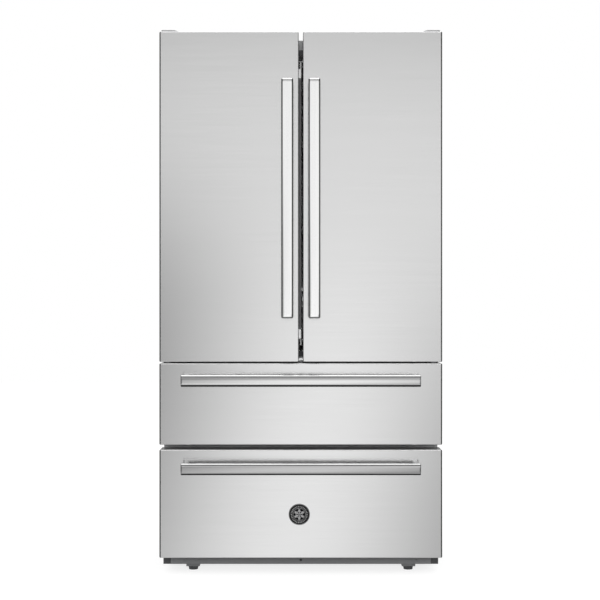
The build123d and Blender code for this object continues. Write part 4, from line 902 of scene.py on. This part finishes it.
def centreStopPiece():
    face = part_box("outer_case")[0].y
    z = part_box("left_door_skin")[0].z + centreStop["rise"]
    stop = barPart((0.0, face, z), centreStop["long"], centreStop)
    makePiece("centre_stop", [stop], "capPearl", "cabinet", "control_plastic")


# breaker strip between the liner and the painted face: a flat ring with square corners round the opening
breakerLook = dict(liner=0.0025, sides=0.0095, above=0.0185, below=0.0175, sunk=0.0004, proud=0.0002)


def breakerStrip():
    low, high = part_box("fridge_liner")
    faceY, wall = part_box("outer_case")[0].y, breakerLook["liner"]
    x, z0, z1 = high.x - wall, low.z + wall, high.z - wall
    wideX, lowZ, highZ = x + breakerLook["sides"], z0 - breakerLook["below"], z1 + breakerLook["above"]
    inner = np.array([(-x, z0), (x, z0), (x, z1), (-x, z1)])
    outer = np.array([(-wideX, lowZ), (wideX, lowZ), (wideX, highZ), (-wideX, highZ)])
    back, front = faceY + breakerLook["sunk"], faceY - breakerLook["proud"]
    order = ((inner, back), (inner, front), (outer, front), (outer, back))
    loops = [np.insert(flat, 1, y, axis=1) for flat, y in order]
    ring = (np.stack(loops, 1), gridQuads(4, 4, True, True))
    makePiece("breaker_strip", [ring], "darkPlastic", "cabinet", "dark_plastic", smooth=20.0)


# freezer baskets: a rounded grip along the front rim
basketRail = dict(
    wide=0.016, thick=0.009, power=4.0, endRound=0.003, sunk=0.0015, drop=0.005, short=0.075,
)


def basketDetail():
    for word in ("upper", "lower"):
        low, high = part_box(word + "_basket")
        centre = (0.0, low.y + basketRail["sunk"], high.z - basketRail["drop"])
        rail = [barPart(centre, 2 * high.x - basketRail["short"], basketRail)]
        makePiece(word + "_basket_rail", rail, "basketPlastic", word + "_drawer", "basket_plastic")


# fan guard: rings turned about the fan's axis, crossed by thin spokes
guardLook = dict(
    rings=(0.014, 0.024, 0.034, 0.044), wire=0.0022,
    spokes=6, spokeIn=0.005, spokeOut=0.052, spoke=0.003,
)


def fanGuard():
    low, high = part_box("evaporator_fan")
    centre = np.array((low + high) / 2)
    centre[1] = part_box("evaporator_cover")[0].y
    parts = [ringPart(centre, radius, guardLook["wire"]) for radius in guardLook["rings"]]
    rays = raysOf(np.arange(guardLook["spokes"]) * 2 * np.pi / guardLook["spokes"])
    starts, ends = rays * guardLook["spokeIn"], rays * guardLook["spokeOut"]
    points, quads = stripPart(starts, ends, guardLook["spoke"], 0.0, -guardLook["wire"])
    parts.append((points + centre, quads))
    makePiece("fan_guard", parts, "whiteLiner", "cabinet", "white_liner", smooth=40.0)


controlDetail()
shelfDetail()
binDetail()
centreStopPiece()
breakerStrip()
basketDetail()
fanGuard()
print("inside: lens, strip, trims, rails, sliders, guard")


# studio: white ground, soft lamps, a sky that metal sees as a bright front with dim sides
# levels round the horizon, on the ground and overhead; places are parts of a unit direction
skyLook = dict(
    ahead=1.03, aside=0.14, edge=0.03, flank=0.50, behind=0.40, pool=1.26, poolWide=0.086,
    poolShift=0.036, poolLean=0.22, shade=0.04, floor=0.62, under=0.60, dim=0.40, ceiling=1.2,
    zenith=3.4, diffuse=0.72, slope=0.28,
)
# where each of them comes in: from nothing at the first place to all of it at the second
skySpan = dict(
    aside=(0.45, 0.88), ahead=(0.91, 0.980), behind=(-0.70, -0.92), horizon=(0.075, -0.035),
    floorDown=(-0.19, -0.27), floorNear=(0.965, 0.90), under=(-0.62, -0.80),
    flankAhead=(0.42, 0.55), flankOut=(0.20, 0.34), dimFrom=(0.20, 0.30), dimTo=(0.58, 0.48),
    ceiling=(0.50, 0.64), zenith=(0.84, 0.95),
)


def studioSky():
    world = bpy.data.worlds.new("studioSky")
    scene.world = world
    world.use_nodes = True
    tree = world.node_tree
    tree.nodes.clear()

    def calc(operation, *values):
        return mathOf(tree, operation, *values)

    def comesIn(word, value):
        node = tree.nodes.new("ShaderNodeMapRange")
        node.interpolation_type = "SMOOTHSTEP"
        for socket, place in zip(("From Min", "From Max"), skySpan[word]):
            node.inputs[socket].default_value = place
        tree.links.new(value, node.inputs["Value"])
        return node.outputs["Result"]

    def blendTo(share, a, b):
        rest = calc("MULTIPLY", calc("SUBTRACT", 1.0, share), a)
        return calc("ADD", rest, calc("MULTIPLY", share, b))

    x, y, z = splitOf(tree, "Generated")
    front = calc("MULTIPLY", y, -1.0)
    # round the horizon: bright ahead, falling off to dim sides, pale again behind
    around = skyLook["edge"]
    for word in ("aside", "ahead", "behind"):
        around = blendTo(comesIn(word, front), around, skyLook[word])
    # ground: a bright pool, a bell curve across, dark to its sides; a pale floor nearer by and below
    middle = calc("ADD", calc("MULTIPLY", z, skyLook["poolLean"]), skyLook["poolShift"])
    off = calc("DIVIDE", calc("SUBTRACT", x, middle), skyLook["poolWide"])
    pool = calc("EXPONENT", calc("MULTIPLY", calc("MULTIPLY", off, off), -0.5))
    ground = calc("ADD", calc("MULTIPLY", pool, skyLook["pool"]), skyLook["shade"])
    near = calc("MULTIPLY", comesIn("floorDown", z), comesIn("floorNear", front))
    ground = blendTo(near, ground, skyLook["floor"])
    ground = blendTo(comesIn("under", z), ground, skyLook["under"])
    level = calc("ADD", z, calc("MULTIPLY", x, skyLook["slope"]))
    low = blendTo(comesIn("horizon", level), around, ground)
    # soft boxes well off to both sides, which only a view from aside meets
    flank = calc("MULTIPLY", comesIn("flankAhead", front), comesIn("flankOut", calc("ABSOLUTE", x)))
    low = blendTo(flank, low, skyLook["flank"])
    # a dim band above the horizon, then the bright ceiling
    band = calc("MULTIPLY", comesIn("dimFrom", z), comesIn("dimTo", z))
    sky = blendTo(band, low, calc("MULTIPLY", low, skyLook["dim"]))
    for word in ("ceiling", "zenith"):
        sky = blendTo(comesIn(word, z), sky, skyLook[word])

    path = tree.nodes.new("ShaderNodeLightPath")
    shown = calc("MAXIMUM", path.outputs["Is Camera Ray"], path.outputs["Is Transmission Ray"])
    level = blendTo(path.outputs["Is Glossy Ray"], skyLook["diffuse"], sky)
    level = blendTo(shown, level, 1.0)
    white = tree.nodes.new("ShaderNodeBackground")
    white.inputs["Color"].default_value = (1.0, 1.0, 1.0, 1.0)
    tree.links.new(level, white.inputs["Strength"])
    out = tree.nodes.new("ShaderNodeOutputWorld")
    tree.links.new(white.outputs[0], out.inputs["Surface"])


studioSky()

floorLook = dict(reach=9.0, colour=(0.30, 0.30, 0.30, 1.0), shown=0.80)


def floorStage():
    reach = floorLook["reach"]
    corners = [(-reach, -reach, 0), (reach, -reach, 0), (reach, reach, 0), (-reach, reach, 0)]
    mesh = bpy.data.meshes.new("paleFloor")
    mesh.from_pydata(corners, [], [(0, 1, 2, 3)])
    made = bpy.data.materials.new("paleFloor")
    made.use_nodes = True
    tree = made.node_tree
    tree.nodes.clear()
    diffuse = tree.nodes.new("ShaderNodeBsdfDiffuse")
    diffuse.inputs["Color"].default_value = floorLook["colour"]
    glow = tree.nodes.new("ShaderNodeEmission")
    path = tree.nodes.new("ShaderNodeLightPath")
    # white where it is seen straight on or through glass
    seen = mathOf(tree, "MAXIMUM", path.outputs["Is Camera Ray"], path.outputs["Is Transmission Ray"])
    tree.links.new(mathOf(tree, "MULTIPLY", seen, floorLook["shown"]), glow.inputs["Strength"])
    both = tree.nodes.new("ShaderNodeAddShader")
    out = tree.nodes.new("ShaderNodeOutputMaterial")
    tree.links.new(diffuse.outputs[0], both.inputs[0])
    tree.links.new(glow.outputs[0], both.inputs[1])
    tree.links.new(both.outputs[0], out.inputs["Surface"])
    mesh.materials.append(made)
    floor = bpy.data.objects.new("paleFloor", mesh)
    scene.collection.objects.link(floor)
    floor.visible_glossy = False


floorStage()

lamps = {
    "keyLamp": dict(at=(-2.6, -3.6, 3.3), to=(0.0, -0.2, 0.9), size=2.6, power=45.0),
    "frontLamp": dict(at=(0.0, -4.5, 1.25), to=(0.0, 0.0, 0.9), size=0.7, power=62.0),
    "fillLamp": dict(at=(3.2, -2.4, 2.2), to=(0.0, 0.0, 0.9), size=2.4, power=26.0),
    "backLamp": dict(at=(0.6, 3.6, 3.0), to=(0.0, 0.0, 0.9), size=2.6, power=40.0),
}
for name, look in lamps.items():
    lamp = bpy.data.lights.new(name, "AREA")
    lamp.size = look["size"]
    lamp.energy = look["power"]
    held = bpy.data.objects.new(name, lamp)
    scene.collection.objects.link(held)
    held.location = look["at"]
    aim = Vector(look["to"]) - Vector(look["at"])
    held.rotation_euler = aim.to_track_quat("-Z", "Y").to_euler()
    held.visible_glossy = False
print("studio: sky, floor,", len(lamps), "lamps")

# camera: level, straight on, 1.925 m of the door plane across the picture
cameraLook = dict(away=4.0, across=1.9251, x=-0.0026, z=0.8867, sensor=36.0)
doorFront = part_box("left_door_skin")[0].y
camera = bpy.data.cameras.new("frontCamera")
camera.sensor_width = cameraLook["sensor"]
camera.lens = cameraLook["sensor"] * cameraLook["away"] / cameraLook["across"]
held = bpy.data.objects.new("frontCamera", camera)
scene.collection.objects.link(held)
held.location = (cameraLook["x"], doorFront - cameraLook["away"], cameraLook["z"])
held.rotation_euler = (np.pi / 2, 0.0, 0.0)
scene.camera = held
